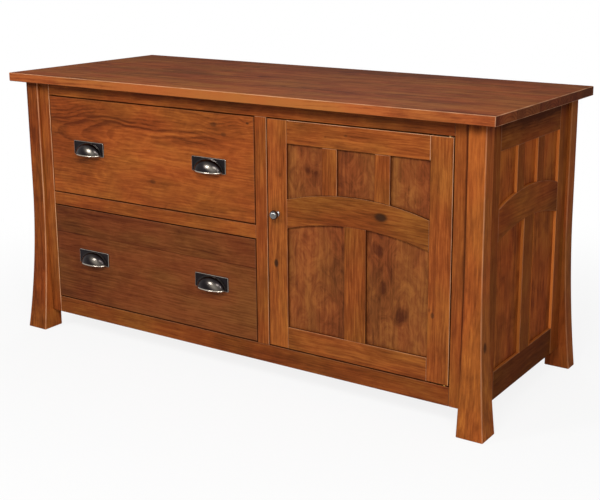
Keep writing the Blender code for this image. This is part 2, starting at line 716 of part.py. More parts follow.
def make_straight_door_rails():
    low_x = PANEL_FIELD_LEFT + JOINT_GAP
    high_x = PANEL_FIELD_RIGHT - JOINT_GAP
    top = board("door_rail_top", (low_x, FRAME_FRONT_Y, PANEL_FIELD_TOP),
                (high_x, DOOR_BACK_Y, DOOR_TOP), "cherry_front")
    groove(top, low_x - CUT_OVERRUN, high_x + CUT_OVERRUN, PANEL_FIELD_TOP - CUT_OVERRUN,
           PANEL_FIELD_TOP + GROOVE_DEPTH, "panel")
    rail_tongues(top, PANEL_FIELD_TOP + GROOVE_DEPTH + TONGUE_SHOULDER,
                 DOOR_TOP - TONGUE_SHOULDER)
    bottom = board("door_rail_bottom", (low_x, FRAME_FRONT_Y, DOOR_BOTTOM),
                   (high_x, DOOR_BACK_Y, PANEL_FIELD_BOTTOM), "cherry_front")
    groove(bottom, low_x - CUT_OVERRUN, high_x + CUT_OVERRUN,
           PANEL_FIELD_BOTTOM - GROOVE_DEPTH, PANEL_FIELD_BOTTOM + CUT_OVERRUN, "panel")
    rail_tongues(bottom, DOOR_BOTTOM + TONGUE_SHOULDER,
                 PANEL_FIELD_BOTTOM - GROOVE_DEPTH - TONGUE_SHOULDER)
    return [top, bottom]


def make_arched_rail():
    """The arched rail between the upper and lower panels, with a curved groove in each edge."""
    low_x = PANEL_FIELD_LEFT + JOINT_GAP
    high_x = PANEL_FIELD_RIGHT - JOINT_GAP
    lower = [(x, door_arch(x)) for x in steps_between(low_x, high_x)]
    upper = [(x, door_arch_top(x)) for x in steps_between(high_x, low_x)]
    rail = plate("door_rail_arch", lower + upper, "Y", FRAME_FRONT_Y, DOOR_THICKNESS,
                 "cherry_front")
    ease(rail, EDGE_EASE)
    low_y, high_y = groove_y()
    span = steps_between(low_x, high_x)
    for label, edge, depth, overrun in (("upper", door_arch_top, -GROOVE_DEPTH, CUT_OVERRUN),
                                        ("lower", door_arch, GROOVE_DEPTH, -CUT_OVERRUN)):
        bed = [(x, edge(x) + depth) for x in span]
        mouth = [(x, edge(x) + overrun) for x in reversed(span)]
        bed[0] = (low_x - CUT_OVERRUN, bed[0][1])
        bed[-1] = (high_x + CUT_OVERRUN, bed[-1][1])
        mouth[0] = (high_x + CUT_OVERRUN, mouth[0][1])
        mouth[-1] = (low_x - CUT_OVERRUN, mouth[-1][1])
        cut(rail, plate(f"door_rail_arch_groove_{label}", bed + mouth, "Y", low_y,
                        high_y - low_y))
    end_low = door_arch(low_x) + GROOVE_DEPTH + TONGUE_SHOULDER
    end_high = door_arch_top(low_x) - GROOVE_DEPTH - TONGUE_SHOULDER
    rail_tongues(rail, end_low, end_high)
    return rail


def edge_steps(edge, start, end):
    """How many steps an edge takes between two places: one where it is straight."""
    middle = edge((start + end) / 2)
    straight = abs(middle - edge(start)) < 1e-6 and abs(middle - edge(end)) < 1e-6
    return 1 if straight else UPRIGHT_STEPS


def make_upright(name, low_x, high_x, foot, head, foot_tip, head_tip):
    """A muntin or mullion: grooved on both sides, with a tongue at the foot and the head."""
    foot_x = steps_between(low_x, high_x, edge_steps(foot, low_x, high_x))
    head_x = steps_between(high_x, low_x, edge_steps(head, low_x, high_x))
    lower = [(x, foot(x) + JOINT_GAP) for x in foot_x]
    upper = [(x, head(x) - JOINT_GAP) for x in head_x]
    upright = plate(name, lower + upper, "Y", FRAME_FRONT_Y, DOOR_THICKNESS, "cherry_front")
    ease(upright, EDGE_EASE)
    low_z = min(z for _, z in lower) - CUT_OVERRUN
    high_z = max(z for _, z in upper) + CUT_OVERRUN
    groove(upright, low_x - CUT_OVERRUN, low_x + GROOVE_DEPTH, low_z, high_z, "left")
    groove(upright, high_x - GROOVE_DEPTH, high_x + CUT_OVERRUN, low_z, high_z, "right")
    core_low = low_x + GROOVE_DEPTH + TONGUE_SHOULDER
    core_high = high_x - GROOVE_DEPTH - TONGUE_SHOULDER
    foot_root = max(foot(core_low), foot(core_high)) + JOINT_GAP + WOOD_OVERLAP
    head_root = min(head(core_low), head(core_high)) - JOINT_GAP - WOOD_OVERLAP
    tongue(upright, core_low, core_high, foot_tip, foot_root, "foot")
    tongue(upright, core_low, core_high, head_root, head_tip, "head")
    return upright


def upper_panel_width():
    return (PANEL_FIELD_RIGHT - PANEL_FIELD_LEFT - 2 * DOOR_MUNTIN_WIDTH) / 3


def make_uprights():
    """Two muntins over the arched rail and the mullion under it."""
    uprights = []
    for index, side_name in enumerate(("left", "right")):
        low_x = PANEL_FIELD_LEFT + upper_panel_width() * (index + 1) + DOOR_MUNTIN_WIDTH * index
        high_x = low_x + DOOR_MUNTIN_WIDTH
        highest = max(door_arch_top(low_x), door_arch_top(high_x))
        uprights.append(make_upright("door_muntin_" + side_name, low_x, high_x, door_arch_top,
                                     lambda x: PANEL_FIELD_TOP, highest - PANEL_EDGE,
                                     PANEL_FIELD_TOP + PANEL_EDGE))
    low_x = DOOR_CENTRE_X - DOOR_MULLION_WIDTH / 2
    high_x = DOOR_CENTRE_X + DOOR_MULLION_WIDTH / 2
    uprights.append(make_upright("door_mullion", low_x, high_x, lambda x: PANEL_FIELD_BOTTOM,
                                 door_arch, PANEL_FIELD_BOTTOM - PANEL_EDGE,
                                 door_arch(low_x) + PANEL_EDGE))
    return uprights


def make_door_panels():
    """Flat panels whose edges sit in the grooves; the arched edges follow the rail."""
    panels = []
    width = upper_panel_width()
    for index, place in enumerate(("left", "middle", "right")):
        low_x = PANEL_FIELD_LEFT + index * (width + DOOR_MUNTIN_WIDTH) - PANEL_EDGE
        high_x = low_x + width + 2 * PANEL_EDGE
        lower = [(x, door_arch_top(x) - PANEL_EDGE)
                 for x in steps_between(low_x, high_x, NARROW_OPENING_STEPS)]
        outline = lower + [(high_x, PANEL_FIELD_TOP + PANEL_EDGE),
                           (low_x, PANEL_FIELD_TOP + PANEL_EDGE)]
        panels.append(plate("door_panel_upper_" + place, outline, "Y", PANEL_FRONT_Y,
                            PANEL_THICKNESS, "cherry_panel"))
    width = (PANEL_FIELD_RIGHT - PANEL_FIELD_LEFT - DOOR_MULLION_WIDTH) / 2
    for index, place in enumerate(("left", "right")):
        low_x = PANEL_FIELD_LEFT + index * (width + DOOR_MULLION_WIDTH) - PANEL_EDGE
        high_x = low_x + width + 2 * PANEL_EDGE
        upper = [(x, door_arch(x) + PANEL_EDGE)
                 for x in steps_between(high_x, low_x, WIDE_OPENING_STEPS)]
        outline = [(low_x, PANEL_FIELD_BOTTOM - PANEL_EDGE),
                   (high_x, PANEL_FIELD_BOTTOM - PANEL_EDGE)] + upper
        panels.append(plate("door_panel_lower_" + place, outline, "Y", PANEL_FRONT_Y,
                            PANEL_THICKNESS, "cherry_panel"))
    return panels


def knob_profile():
    """Half of the knob's outline, from the middle of its face down to its foot."""
    points = []
    for step in range(KNOB_CROWN_STEPS + 1):
        turn = math.radians(90) * step / KNOB_CROWN_STEPS
        points.append((KNOB_RADIUS * math.sin(turn),
                       KNOB_LENGTH - KNOB_CROWN + KNOB_CROWN * math.cos(turn)))
    points += [(KNOB_HEAD_RADIUS, KNOB_HEAD_BASE + KNOB_HEAD_RISE),
               (KNOB_NECK_RADIUS, KNOB_HEAD_BASE),
               (KNOB_NECK_RADIUS, KNOB_NECK_BASE),
               (KNOB_FOOT_RADIUS, KNOB_FOOT_HEIGHT),
               (KNOB_FOOT_RADIUS, JOINT_GAP),
               (0, JOINT_GAP)]
    return points


def make_knob():
    """The turned knob on the door's free stile, spun from its profile."""
    mesh = bpy.data.meshes.new("door_knob")
    points = [(radius, 0, height) for radius, height in knob_profile()]
    mesh.from_pydata(points, [(i, i + 1) for i in range(len(points) - 1)], [])
    knob = add_object("door_knob", mesh, "polished_nickel",
                      (DOOR_LEFT + DOOR_STILE_WIDTH / 2, FRAME_FRONT_Y, KNOB_HEIGHT))
    knob.rotation_euler = (math.radians(90), 0, 0)
    spin = knob.modifiers.new("turned", "SCREW")
    spin.axis = "Z"
    spin.angle = math.radians(360)
    spin.steps = KNOB_SEGMENTS
    spin.render_steps = KNOB_SEGMENTS
    spin.use_merge_vertices = True
    spin.merge_threshold = 0.00001
    spin.use_smooth_shade = True
    return knob


def leaf_corners(low_z, high_z, gap=0.0):
    """Corners of a pivot leaf, which is let into an edge round the pivot's axis."""
    low = (PANEL_FIELD_RIGHT + LEAF_FROM_PANEL_FIELD - gap, PIVOT_Y - LEAF_WIDTH / 2 - gap,
           low_z)
    high = (PIVOT_X + LEAF_BEYOND_PIN + gap, PIVOT_Y + LEAF_WIDTH / 2 + gap, high_z)
    return low, high


def make_pivot(place, up, rail, stile):
    """One pivot: a leaf with a pin in the case's rail, and a leaf with a hole in the door."""
    rail_edge = OPENING_TOP if up > 0 else OPENING_BOTTOM
    door_edge = DOOR_TOP if up > 0 else DOOR_BOTTOM
    span = sorted((rail_edge, rail_edge + up * LEAF_THICKNESS))
    pin_leaf = block("hinge_pin_leaf_" + place, *leaf_corners(*span), "brass")
    start = rail_edge + up * LEAF_THICKNESS / 2
    length = LEAF_THICKNESS / 2 + FRONT_GAP + LEAF_THICKNESS - PIVOT_TIP_CLEARANCE
    join(pin_leaf, rod(f"hinge_pin_{place}", (PIVOT_X, PIVOT_Y, start), length,
                       PIVOT_PIN_RADIUS, (0, 0, -up)))
    seat = sorted((rail_edge - up * CUT_OVERRUN, rail_edge + up * (LEAF_THICKNESS + JOINT_GAP)))
    cut(rail, block(f"hinge_seat_rail_{place}", *leaf_corners(*seat, JOINT_GAP)))

    span = sorted((door_edge, door_edge - up * LEAF_THICKNESS))
    door_leaf = block("hinge_door_leaf_" + place, *leaf_corners(*span), "brass")
    hole_base = (PIVOT_X, PIVOT_Y, door_edge + up * CUT_OVERRUN)
    hole_length = LEAF_THICKNESS + 2 * CUT_OVERRUN
    cut(door_leaf, rod(f"hinge_hole_{place}", hole_base, hole_length,
                       PIVOT_PIN_RADIUS + PIVOT_CLEARANCE, (0, 0, -up)))
    seat = sorted((door_edge + up * CUT_OVERRUN, door_edge - up * (LEAF_THICKNESS + JOINT_GAP)))
    cut(stile, block(f"hinge_seat_door_{place}", *leaf_corners(*seat, JOINT_GAP)))
    return door_leaf


def make_catch():
    """The magnetic catch on the partition and its strike plate on the door's back."""
    high_z = OPENING_TOP - CATCH_DROP
    front_y = DOOR_BACK_Y + 2 * JOINT_GAP + STRIKE_THICKNESS
    block("door_catch", (PARTITION_RIGHT + JOINT_GAP, front_y, high_z - CATCH_HEIGHT),
          (PARTITION_RIGHT + CATCH_WIDTH, front_y + CATCH_DEPTH, high_z), "catch_plastic")
    middle_z = high_z - CATCH_HEIGHT / 2
    low_x = DOOR_LEFT + STRIKE_FROM_EDGE
    return block("door_strike",
                 (low_x, DOOR_BACK_Y + JOINT_GAP, middle_z - STRIKE_HEIGHT / 2),
                 (low_x + STRIKE_WIDTH, DOOR_BACK_Y + JOINT_GAP + STRIKE_THICKNESS,
                  middle_z + STRIKE_HEIGHT / 2), "zinc_steel")


def make_door(rails):
    """The door: stiles, rails, uprights, panels and knob, on its two pivots."""
    latch = make_door_stile("door_stile_latch", DOOR_LEFT, PANEL_FIELD_LEFT,
                            PANEL_FIELD_LEFT, 1)
    hinge = make_door_stile("door_stile_hinge", PANEL_FIELD_RIGHT, DOOR_RIGHT,
                            PANEL_FIELD_RIGHT, -1)
    pieces = [latch, hinge]
    pieces += make_straight_door_rails()
    pieces.append(make_arched_rail())
    pieces += make_uprights()
    pieces += make_door_panels()
    pieces.append(make_knob())
    pieces.append(make_pivot("top", 1, rails["rail_top"], hinge))
    pieces.append(make_pivot("bottom", -1, rails["rail_bottom"], hinge))
    pieces.append(make_catch())
    carry("door_axis", (PIVOT_X, PIVOT_Y, DOOR_BOTTOM), pieces)


def rounded_outline(centre_x, centre_z, width, height, radius):
    """A rectangle with round corners, seen from the front."""
    outline = []
    for index, (way_x, way_z) in enumerate(((1, 1), (-1, 1), (-1, -1), (1, -1))):
        middle_x = centre_x + way_x * (width / 2 - radius)
        middle_z = centre_z + way_z * (height / 2 - radius)
        for step in range(CORNER_STEPS + 1):
            turn = math.radians(90) * (index + step / CORNER_STEPS)
            outline.append((middle_x + radius * math.cos(turn),
                            middle_z + radius * math.sin(turn)))
    return outline


def make_pull(name, centre_x, centre_z):
    """A cup pull: a backplate with a stepped half dome, hollow and open underneath."""
    seat = FRAME_FRONT_Y - JOINT_GAP
    face = seat - PULL_PLATE
    outline = rounded_outline(centre_x, centre_z, PULL_WIDTH, PULL_HEIGHT, PULL_CORNER)
    pull = plate(name, outline, "Y", face, PULL_PLATE, "black_nickel")
    ease(pull, PULL_PLATE_EDGE)
    lip_z = centre_z - PULL_HEIGHT / 2 + PULL_BELOW_LIP
    inside_plate = seat - PULL_PLATE / 2
    centre = (centre_x, face, lip_z)

    rim_low = lip_z + CUP_RIM_ABOVE_LIP
    rim_outline = []
    for step in range(RIM_STEPS + 1):
        turn = math.pi * step / RIM_STEPS
        rim_outline.append((centre_x + CUP_RIM_WIDTH / 2 * math.cos(turn),
                            rim_low + (CUP_RIM_HEIGHT - CUP_RIM_ABOVE_LIP) * math.sin(turn)))
    rim = plate(name + "_rim", rim_outline, "Y", face - CUP_RIM_DEPTH,
                inside_plate - face + CUP_RIM_DEPTH)
    join(pull, rim)
    join(pull, dome(name + "_cup", centre, (CUP_WIDTH / 2, CUP_DEPTH, CUP_HEIGHT),
                    inside_plate, lip_z))
    cut(pull, dome(name + "_hollow", centre,
                   (CUP_WIDTH / 2 - CUP_WALL, CUP_DEPTH - CUP_WALL, CUP_HEIGHT - CUP_WALL),
                   face + CUP_SEAT_DEPTH))
    return pull


def channel_outline(side, web_x, tip_x, half_height, middle_z):
    """A slide member seen end on: a channel with its web at web_x and flanges to tip_x."""
    steel = SLIDE_STEEL
    inner_web = web_x + math.copysign(steel, tip_x - web_x)
    return [(side + web_x, middle_z - half_height), (side + tip_x, middle_z - half_height),
            (side + tip_x, middle_z - half_height + steel),
            (side + inner_web, middle_z - half_height + steel),
            (side + inner_web, middle_z + half_height - steel),
            (side + tip_x, middle_z + half_height - steel),
            (side + tip_x, middle_z + half_height), (side + web_x, middle_z + half_height)]


def make_slide(level, side_name, wall_x, way, middle_z):
    """One telescoping slide between the bay's wall and the drawer box."""
    start = DRAWER_BACK_Y + SLIDE_SETBACK
    length = BACK_PANEL_Y - SLIDE_BACK_CLEARANCE - start
    drawer_length = BACK_PANEL_Y - BOX_BACK_CLEARANCE - start
    step = SLIDE_STEEL + SLIDE_RUNNING_GAP
    half = SLIDE_HEIGHT / 2
    near = JOINT_GAP
    far = SLIDE_SPACE - JOINT_GAP
    tip = SLIDE_SPACE - JOINT_GAP - SLIDE_STEEL - SLIDE_RUNNING_GAP
    label = f"{level}_{side_name}"
    outer = plate("slide_case_" + label,
                  channel_outline(wall_x, way * near, way * (tip - SLIDE_FLANGE_TIP), half,
                                  middle_z), "Y", start, length, "zinc_steel")
    middle = plate("slide_middle_" + label,
                   channel_outline(wall_x, way * (near + step), way * tip, half - step,
                                   middle_z), "Y", start, length - SLIDE_MIDDLE_SHORTER,
                   "zinc_steel")
    inner_tip = near + 2 * step
    inner = plate("slide_drawer_" + label,
                  channel_outline(wall_x, way * far, way * inner_tip, half - 2 * step,
                                  middle_z), "Y", start, drawer_length, "zinc_steel")
    return outer, middle, inner


def make_drawer(level, opening_bottom):
    """One drawer: its front, its box, two pulls and the slides on both sides."""
    low_x = DRAWER_BAY_LEFT + FRONT_GAP
    high_x = DRAWER_BAY_RIGHT - FRONT_GAP
    low_z = opening_bottom + FRONT_GAP
    high_z = opening_bottom + DRAWER_OPENING_HEIGHT - FRONT_GAP
    front = board("drawer_front_" + level, (low_x, FRAME_FRONT_Y, low_z),
                  (high_x, DRAWER_BACK_Y, high_z), "cherry_front")

    box_low = Vector((DRAWER_BAY_LEFT + SLIDE_SPACE, DRAWER_BACK_Y + JOINT_GAP,
                      low_z + BOX_ABOVE_FRONT_EDGE))
    box_high = Vector((DRAWER_BAY_RIGHT - SLIDE_SPACE, BACK_PANEL_Y - BOX_BACK_CLEARANCE,
                       high_z - BOX_BELOW_FRONT_TOP))
    box = block("drawer_box_" + level, box_low, box_high, "maple_box")
    walls = Vector((BOX_WALL, BOX_WALL, 0))
    hollow_low = box_low + walls + Vector((0, 0, BOX_BOTTOM_RISE + BOX_BOTTOM))
    hollow_high = box_high - walls + Vector((0, 0, CUT_OVERRUN))
    cut(box, block(f"drawer_box_{level}_hollow", hollow_low, hollow_high))
    under_low = box_low + walls - Vector((0, 0, CUT_OVERRUN))
    under_high = Vector((box_high.x - BOX_WALL, box_high.y - BOX_WALL,
                         box_low.z + BOX_BOTTOM_RISE))
    cut(box, block(f"drawer_box_{level}_under", under_low, under_high))

    centre_x = (low_x + high_x) / 2
    centre_z = (low_z + high_z) / 2
    moving = [front, box]
    for way, side_name in ((-1, "left"), (1, "right")):
        moving.append(make_pull(f"pull_{level}_{side_name}",
                                centre_x + way * PULL_SPACING / 2, centre_z))
    middle_z = (box_low.z + box_high.z) / 2
    middles = []
    for side_name, wall_x, way in (("left", DRAWER_BAY_LEFT, 1), ("right", DRAWER_BAY_RIGHT, -1)):
        outer, middle, inner = make_slide(level, side_name, wall_x, way, middle_z)
        middles.append(middle)
        moving.append(inner)
    carry(f"drawer_{level}_axis", (centre_x, FRAME_FRONT_Y, middle_z), moving)
    carry(f"slide_middle_{level}_axis", (centre_x, DRAWER_BACK_Y, middle_z), middles)


def make_credenza():
    make_top()
    posts = make_posts()
    rails = make_face_frame()
    make_end(-1, "left", posts)
    end_right = make_end(1, "right", posts)
    make_case_boards(posts, end_right)
    make_drawer("lower", OPENING_BOTTOM)
    make_drawer("upper", OPENING_BOTTOM + DRAWER_OPENING_HEIGHT + DIVIDER_HEIGHT)
    make_door(rails)


make_credenza()
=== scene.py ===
"""Dresses the packed credenza: its woods and metals, the finely shaped posts, end frames, pulls and
knob, and the floor, lamps and camera. All sizes are in metres.
"""

import math

import bmesh
import bpy
from bpy.props import FloatProperty, FloatVectorProperty, IntProperty, PointerProperty
from mathutils import Matrix, Vector


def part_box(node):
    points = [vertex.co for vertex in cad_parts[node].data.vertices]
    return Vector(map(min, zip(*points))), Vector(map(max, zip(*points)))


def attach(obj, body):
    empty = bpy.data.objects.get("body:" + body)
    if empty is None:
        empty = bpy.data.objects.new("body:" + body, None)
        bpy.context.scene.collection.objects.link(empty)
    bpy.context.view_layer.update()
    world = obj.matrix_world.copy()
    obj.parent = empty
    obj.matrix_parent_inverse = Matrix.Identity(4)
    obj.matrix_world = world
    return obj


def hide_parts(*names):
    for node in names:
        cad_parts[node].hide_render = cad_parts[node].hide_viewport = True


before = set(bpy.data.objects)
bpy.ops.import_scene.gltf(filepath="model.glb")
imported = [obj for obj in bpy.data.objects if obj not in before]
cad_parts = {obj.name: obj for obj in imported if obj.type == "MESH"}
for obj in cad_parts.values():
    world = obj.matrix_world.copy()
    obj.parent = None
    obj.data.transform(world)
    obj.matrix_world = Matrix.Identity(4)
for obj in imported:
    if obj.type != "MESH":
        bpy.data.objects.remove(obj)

bl_info = {
    "name": "Credenza Dressing",
    "version": (1, 0, 0),
    "blender": (4, 5, 0),
    "location": "3D View > Sidebar > Credenza",
    "description": "Finishes and fine pieces for a two drawer, one door credenza",
    "category": "Object",
}

# Where the camera stands, how far it is turned to the left and tipped down, in degrees, and how
# far the picture is shifted, as shares of its width
CAMERA_PLACE = (1.715, -2.439, 1.122)
CAMERA_TURN = 32.596
CAMERA_TIP = 13.184
CAMERA_SHIFT = (-35.0 / 600.0, -50.0 / 600.0)

# The top's underside. Its overhang keeps the light off what is just below it
UNDER_TOP = 0.738

# The end frames: their inner and outer faces, their rails' widths, half the mullion's width, how
# far the muntins' sides lie from the middle, and the gap where a stile meets a rail
END_INNER, END_OUTER = 0.693, 0.713
END_RAIL_TOP, END_RAIL_BOTTOM, END_RAIL_ARCH = 0.0765, 0.072, 0.078
END_MULLION = 0.030
END_MUNTIN = (0.041, 0.081)
JOINT = 0.0002

# A cup pull: how far the cup stands out, how thick it is, how far its lip lies above the plate's
# lower edge, and its half width and height
CUP_DEPTH, CUP_WALL, CUP_LIFT = 0.023, 0.002, 0.002
CUP_HALF_WIDTH, CUP_HEIGHT = 0.0462, 0.0338
# The two low arcs behind it: width, height, how far out and in they reach, and their rounding
CUP_ARCS = ((0.098, 0.0355, 0.0012, 0.0004, 0.0006), (0.093, 0.0342, 0.0020, 0.0002, 0.0007))


class Wire:
    """A socket of a material's nodes, so that shader maths reads as an expression."""

    def __init__(self, graph, socket):
        self.graph = graph
        self.socket = socket

    def __add__(self, other):
        return self.graph.maths("ADD", self, other)

    def __radd__(self, other):
        return self.graph.maths("ADD", other, self)

    def __sub__(self, other):
        return self.graph.maths("SUBTRACT", self, other)

    def __rsub__(self, other):
        return self.graph.maths("SUBTRACT", other, self)

    def __mul__(self, other):
        return self.graph.maths("MULTIPLY", self, other)

    def __rmul__(self, other):
        return self.graph.maths("MULTIPLY", other, self)

    def __truediv__(self, other):
        return self.graph.maths("DIVIDE", self, other)

    def __rtruediv__(self, other):
        return self.graph.maths("DIVIDE", other, self)

    def __neg__(self):
        return self.graph.maths("MULTIPLY", self, -1.0)


class Graph:
    """Makes the nodes of a new material or world."""

    def __init__(self, owner):
        owner.use_nodes = True
        self.owner = owner
        self.tree = owner.node_tree
        self.tree.nodes.clear()

    def node(self, kind, settings=None, values=None, out=0):
        """A node of that kind, with its settings made first, then its sockets' values or links."""
        node = self.tree.nodes.new(kind)
        for key, value in (settings or {}).items():
            if key == "stops":
                self.set_stops(node.color_ramp, value)
            else:
                setattr(node, key, value)
        for key, value in (values or {}).items():
            if isinstance(value, Wire):
                self.tree.links.new(value.socket, node.inputs[key])
            else:
                node.inputs[key].default_value = value
        return Wire(self, node.outputs[out]) if node.outputs else node

    def set_stops(self, ramp, stops):
        while len(ramp.elements) < len(stops):
            ramp.elements.new(1.0)
        for element, (place, colour) in zip(ramp.elements, stops):
            element.position = place
            element.color = (*colour, 1.0)

    def maths(self, operation, *terms):
        values = {index: term for index, term in enumerate(terms)}
        return self.node("ShaderNodeMath", {"operation": operation}, values)

    def place(self, kind="Object"):
        """The three parts of the surface's point in the object, or of its normal."""
        point = self.node("ShaderNodeTexCoord", out=kind)
        parts = self.node("ShaderNodeSeparateXYZ", values={0: point}).socket.node
        return [Wire(self, parts.outputs[index]) for index in range(3)]

    def noise(self, x, y, z, detail=2.0, roughness=0.5, distortion=0.0):
        """Noise about zero, from -0.5 to 0.5."""
        point = self.node("ShaderNodeCombineXYZ", values={0: x, 1: y, 2: z})
        values = {"Vector": point, "Scale": 1.0, "Detail": detail}
        values.update({"Roughness": roughness, "Distortion": distortion})
        return self.node("ShaderNodeTexNoise", values=values) - 0.5

    def chance(self, number):
        """A steady random value from 0 to 1 for each whole number."""
        return self.node("ShaderNodeTexWhiteNoise", {"noise_dimensions": "1D"}, {"W": number})

    def fade(self, value, low, high, start=0.0, end=1.0):
        """Goes smoothly from start to end as value goes from low to high."""
        values = {0: value, 1: low, 2: high, 3: start, 4: end}
        return self.node("ShaderNodeMapRange", {"interpolation_type": "SMOOTHSTEP"}, values)

    def ramp(self, value, stops):
        return self.node("ShaderNodeValToRGB", {"stops": stops}, {0: value})

    def mix(self, factor, first, second, blend="MIX"):
        settings = {"data_type": "RGBA", "blend_type": blend}
        first, second = (c if isinstance(c, Wire) else (*c, 1.0) for c in (first, second))
        return self.node("ShaderNodeMix", settings, {0: factor, 6: first, 7: second}, out=2)

    def bump(self, height, strength, distance):
        values = {"Height": height, "Strength": strength, "Distance": distance}
        return self.node("ShaderNodeBump", values=values)

    def finish(self, **values):
        """Joins the shader to the output. Keys are the shader's sockets, with _ for a space."""
        values = {key.replace("_", " "): value for key, value in values.items()}
        shader = self.node("ShaderNodeBsdfPrincipled", values=values)
        self.node("ShaderNodeOutputMaterial", values={"Surface": shader})
        return self.owner

    def bell(self, ahead, aside):
        """1 at the middle of a patch, fading to 0 beyond its half sizes."""
        return self.maths("EXPONENT", -(ahead * ahead + aside * aside))


def shades(colour):
    """The light, middle and dark tones of a stained wood, from its middle colour."""
    red, green, blue = colour
    pale = (min(red * 1.50, 0.9), min(green * 1.75, 0.8), min(blue * 1.60, 0.7))
    deep = (red * 0.40, green * 0.37, blue * 0.50)
    return pale, colour, deep


def wood(name, low, high, grain, face, colour, seed=0.0, figure=1.0, spacing=0.0085,
         pith=(0.0, -0.06), tilt=0.03, planks=(), knots=(), patches=(), streaks=(), rim=0.22,
         grime=0.3, blotch=1.0, swirl=0.5, line=1.0, stretch=1.0, shut=0.0, lit=0.0, coat=0.08):
    """Stained wood on a board between low and high, whose fibres run along grain and whose
    broad side looks along face. pith is where the tree's centre lies, across and behind, and
    planks are the shares of the width where planks meet. shut darkens the narrow sides, which
    face a gap, with painted shade, partly the darker stain such sides take; below 0 it paints
    them lighter, a painted light, and lit paints them a lit orange, a painted light too. rim
    paints a highlight on the eased edges that look up or to the right, and grime paints
    shade on the others. Knots, patches and rippled streaks have their place along and across
    first, then their sizes and their depth.
    """
    graph = Graph(bpy.data.materials.new(name))
    point = graph.place()
    along = "XYZ".index(grain)
    deep = "XYZ".index(face)
    across = 3 - along - deep
    middle = [(low[index] + high[index]) / 2 for index in range(3)]
    u, v, w = (point[axis] - middle[axis] for axis in (along, across, deep))

    # Glued planks: each has its own tree, tone and length of figure
    shift = seed * 3.7
    tone = 0.0
    seam = 0.0
    local = v
    if planks:
        edges = [low[across] + (high[across] - low[across]) * part for part in planks]
        bounds = [low[across], *edges, high[across]]
        centres = [(a + b) / 2 - middle[across] for a, b in zip(bounds, bounds[1:])]
        count = 0.0
        local = v - centres[0]
        for edge, before, after in zip(edges, centres, centres[1:]):
            step = graph.maths("GREATER_THAN", v, edge - middle[across])
            count = count + step
            local = local - step * (after - before)
            gap = graph.maths("ABSOLUTE", v - (edge - middle[across]))
            seam = graph.maths("MAXIMUM", seam, graph.fade(gap, 0.0004, 0.0020, 1.0, 0.0))
        luck = graph.chance(count + seed)
        shift = luck * 40.0 + shift
        tone = (graph.chance(count + (seed + 17.0)) - 0.5) * 0.40
        local = local * (graph.maths("GREATER_THAN", luck, 0.5) * 2.0 - 1.0)

    # The fibres wander, and curl round each knot
    slow = graph.noise(u * 2.1 + shift, local * 5.0, w * 5.0, 2.0)
    wave = graph.noise(u * 8.5 + shift, local * 11.0, w * 11.0, 3.0, 0.55)
    bent = local + slow * (0.030 * figure) + wave * (0.011 * figure)
    core = 0.0
    lift = 0.0
    for knot_u, knot_v, size, force in knots:
        ahead = (point[along] - knot_u) * 0.62
        aside = point[across] - knot_v
        apart = ahead * ahead + aside * aside
        near = graph.maths("EXPONENT", apart * (-1.0 / (size * 4.2) ** 2))
        lift = lift + near * force
        spot = graph.fade(apart, size * size * 0.15, size * size, 1.0, 0.0)
        core = graph.maths("MAXIMUM", core, spot * min(force, 1.0) * 0.92)

    # Broad dark or light places, and streaks that ripple together
    cast = 0.0
    for patch_u, patch_v, long, wide, amount in patches:
        ahead = (point[along] - patch_u + wave * long * 1.2) / long
        aside = (point[across] - patch_v + slow * wide * 1.2) / wide
        cast = cast + graph.bell(ahead, aside) * amount
    if streaks:
        ripple = graph.noise(u * 5.2 + shift, local * 3.0, 2.7, 1.0) * 0.085
    for streak_u, streak_v, long, wide, amount in streaks:
        ahead = (point[along] - streak_u) / long
        aside = (point[across] - streak_v + ripple + wave * 0.008) / wide
        cast = cast + graph.bell(ahead, aside) * amount

    # The tree's rings, cut by the board's face
    side = bent - pith[0]
    back = w - pith[1] - u * tilt + slow * (0.05 * figure)
    radius = graph.maths("SQRT", side * side + back * back) / spacing + lift * 2.2 + shift
    uneven = graph.noise(radius * 0.31, shift, 4.2, 1.0)
    turn = graph.maths("FRACT", radius + uneven * 1.5)
    late = graph.fade(turn, 0.38, 0.90) * graph.fade(turn, 0.90, 1.0, 1.0, 0.0)
    here = graph.noise(u * 3.4 + shift, local * 8.0, w * 8.0, 2.0)
    here = graph.fade(here, -0.16, 0.20, 0.10, 1.0)

    # Fine fibres, pores and the stain's uneven take
    fibre = graph.noise(u * (13.0 / stretch) + shift, bent * 215.0, w * 215.0, 5.0, 0.68)
    streak = graph.noise(u * (4.6 / stretch) + shift, bent * 74.0, w * 74.0, 3.0, 0.6)
    pore = graph.noise(u * 85.0 + shift, bent * 1450.0, w * 1450.0, 1.0)
    broad = graph.noise(u * 1.7 + shift, local * 4.6 + 9.0, w * 4.6, 1.0)
    cloud = graph.noise(u * 15.0 + shift, bent * 24.0 + 3.0, w * 24.0, 5.0, 0.62, swirl)
    pored = graph.fade(pore, 0.14, 0.26)

    facing = graph.place("Normal")
    normal = [graph.maths("ABSOLUTE", part) for part in facing]
    cut_end = graph.fade(normal[along], 0.6, 0.85)
    narrow = graph.fade(normal[deep], 0.25, 0.55, 1.0, 0.0)

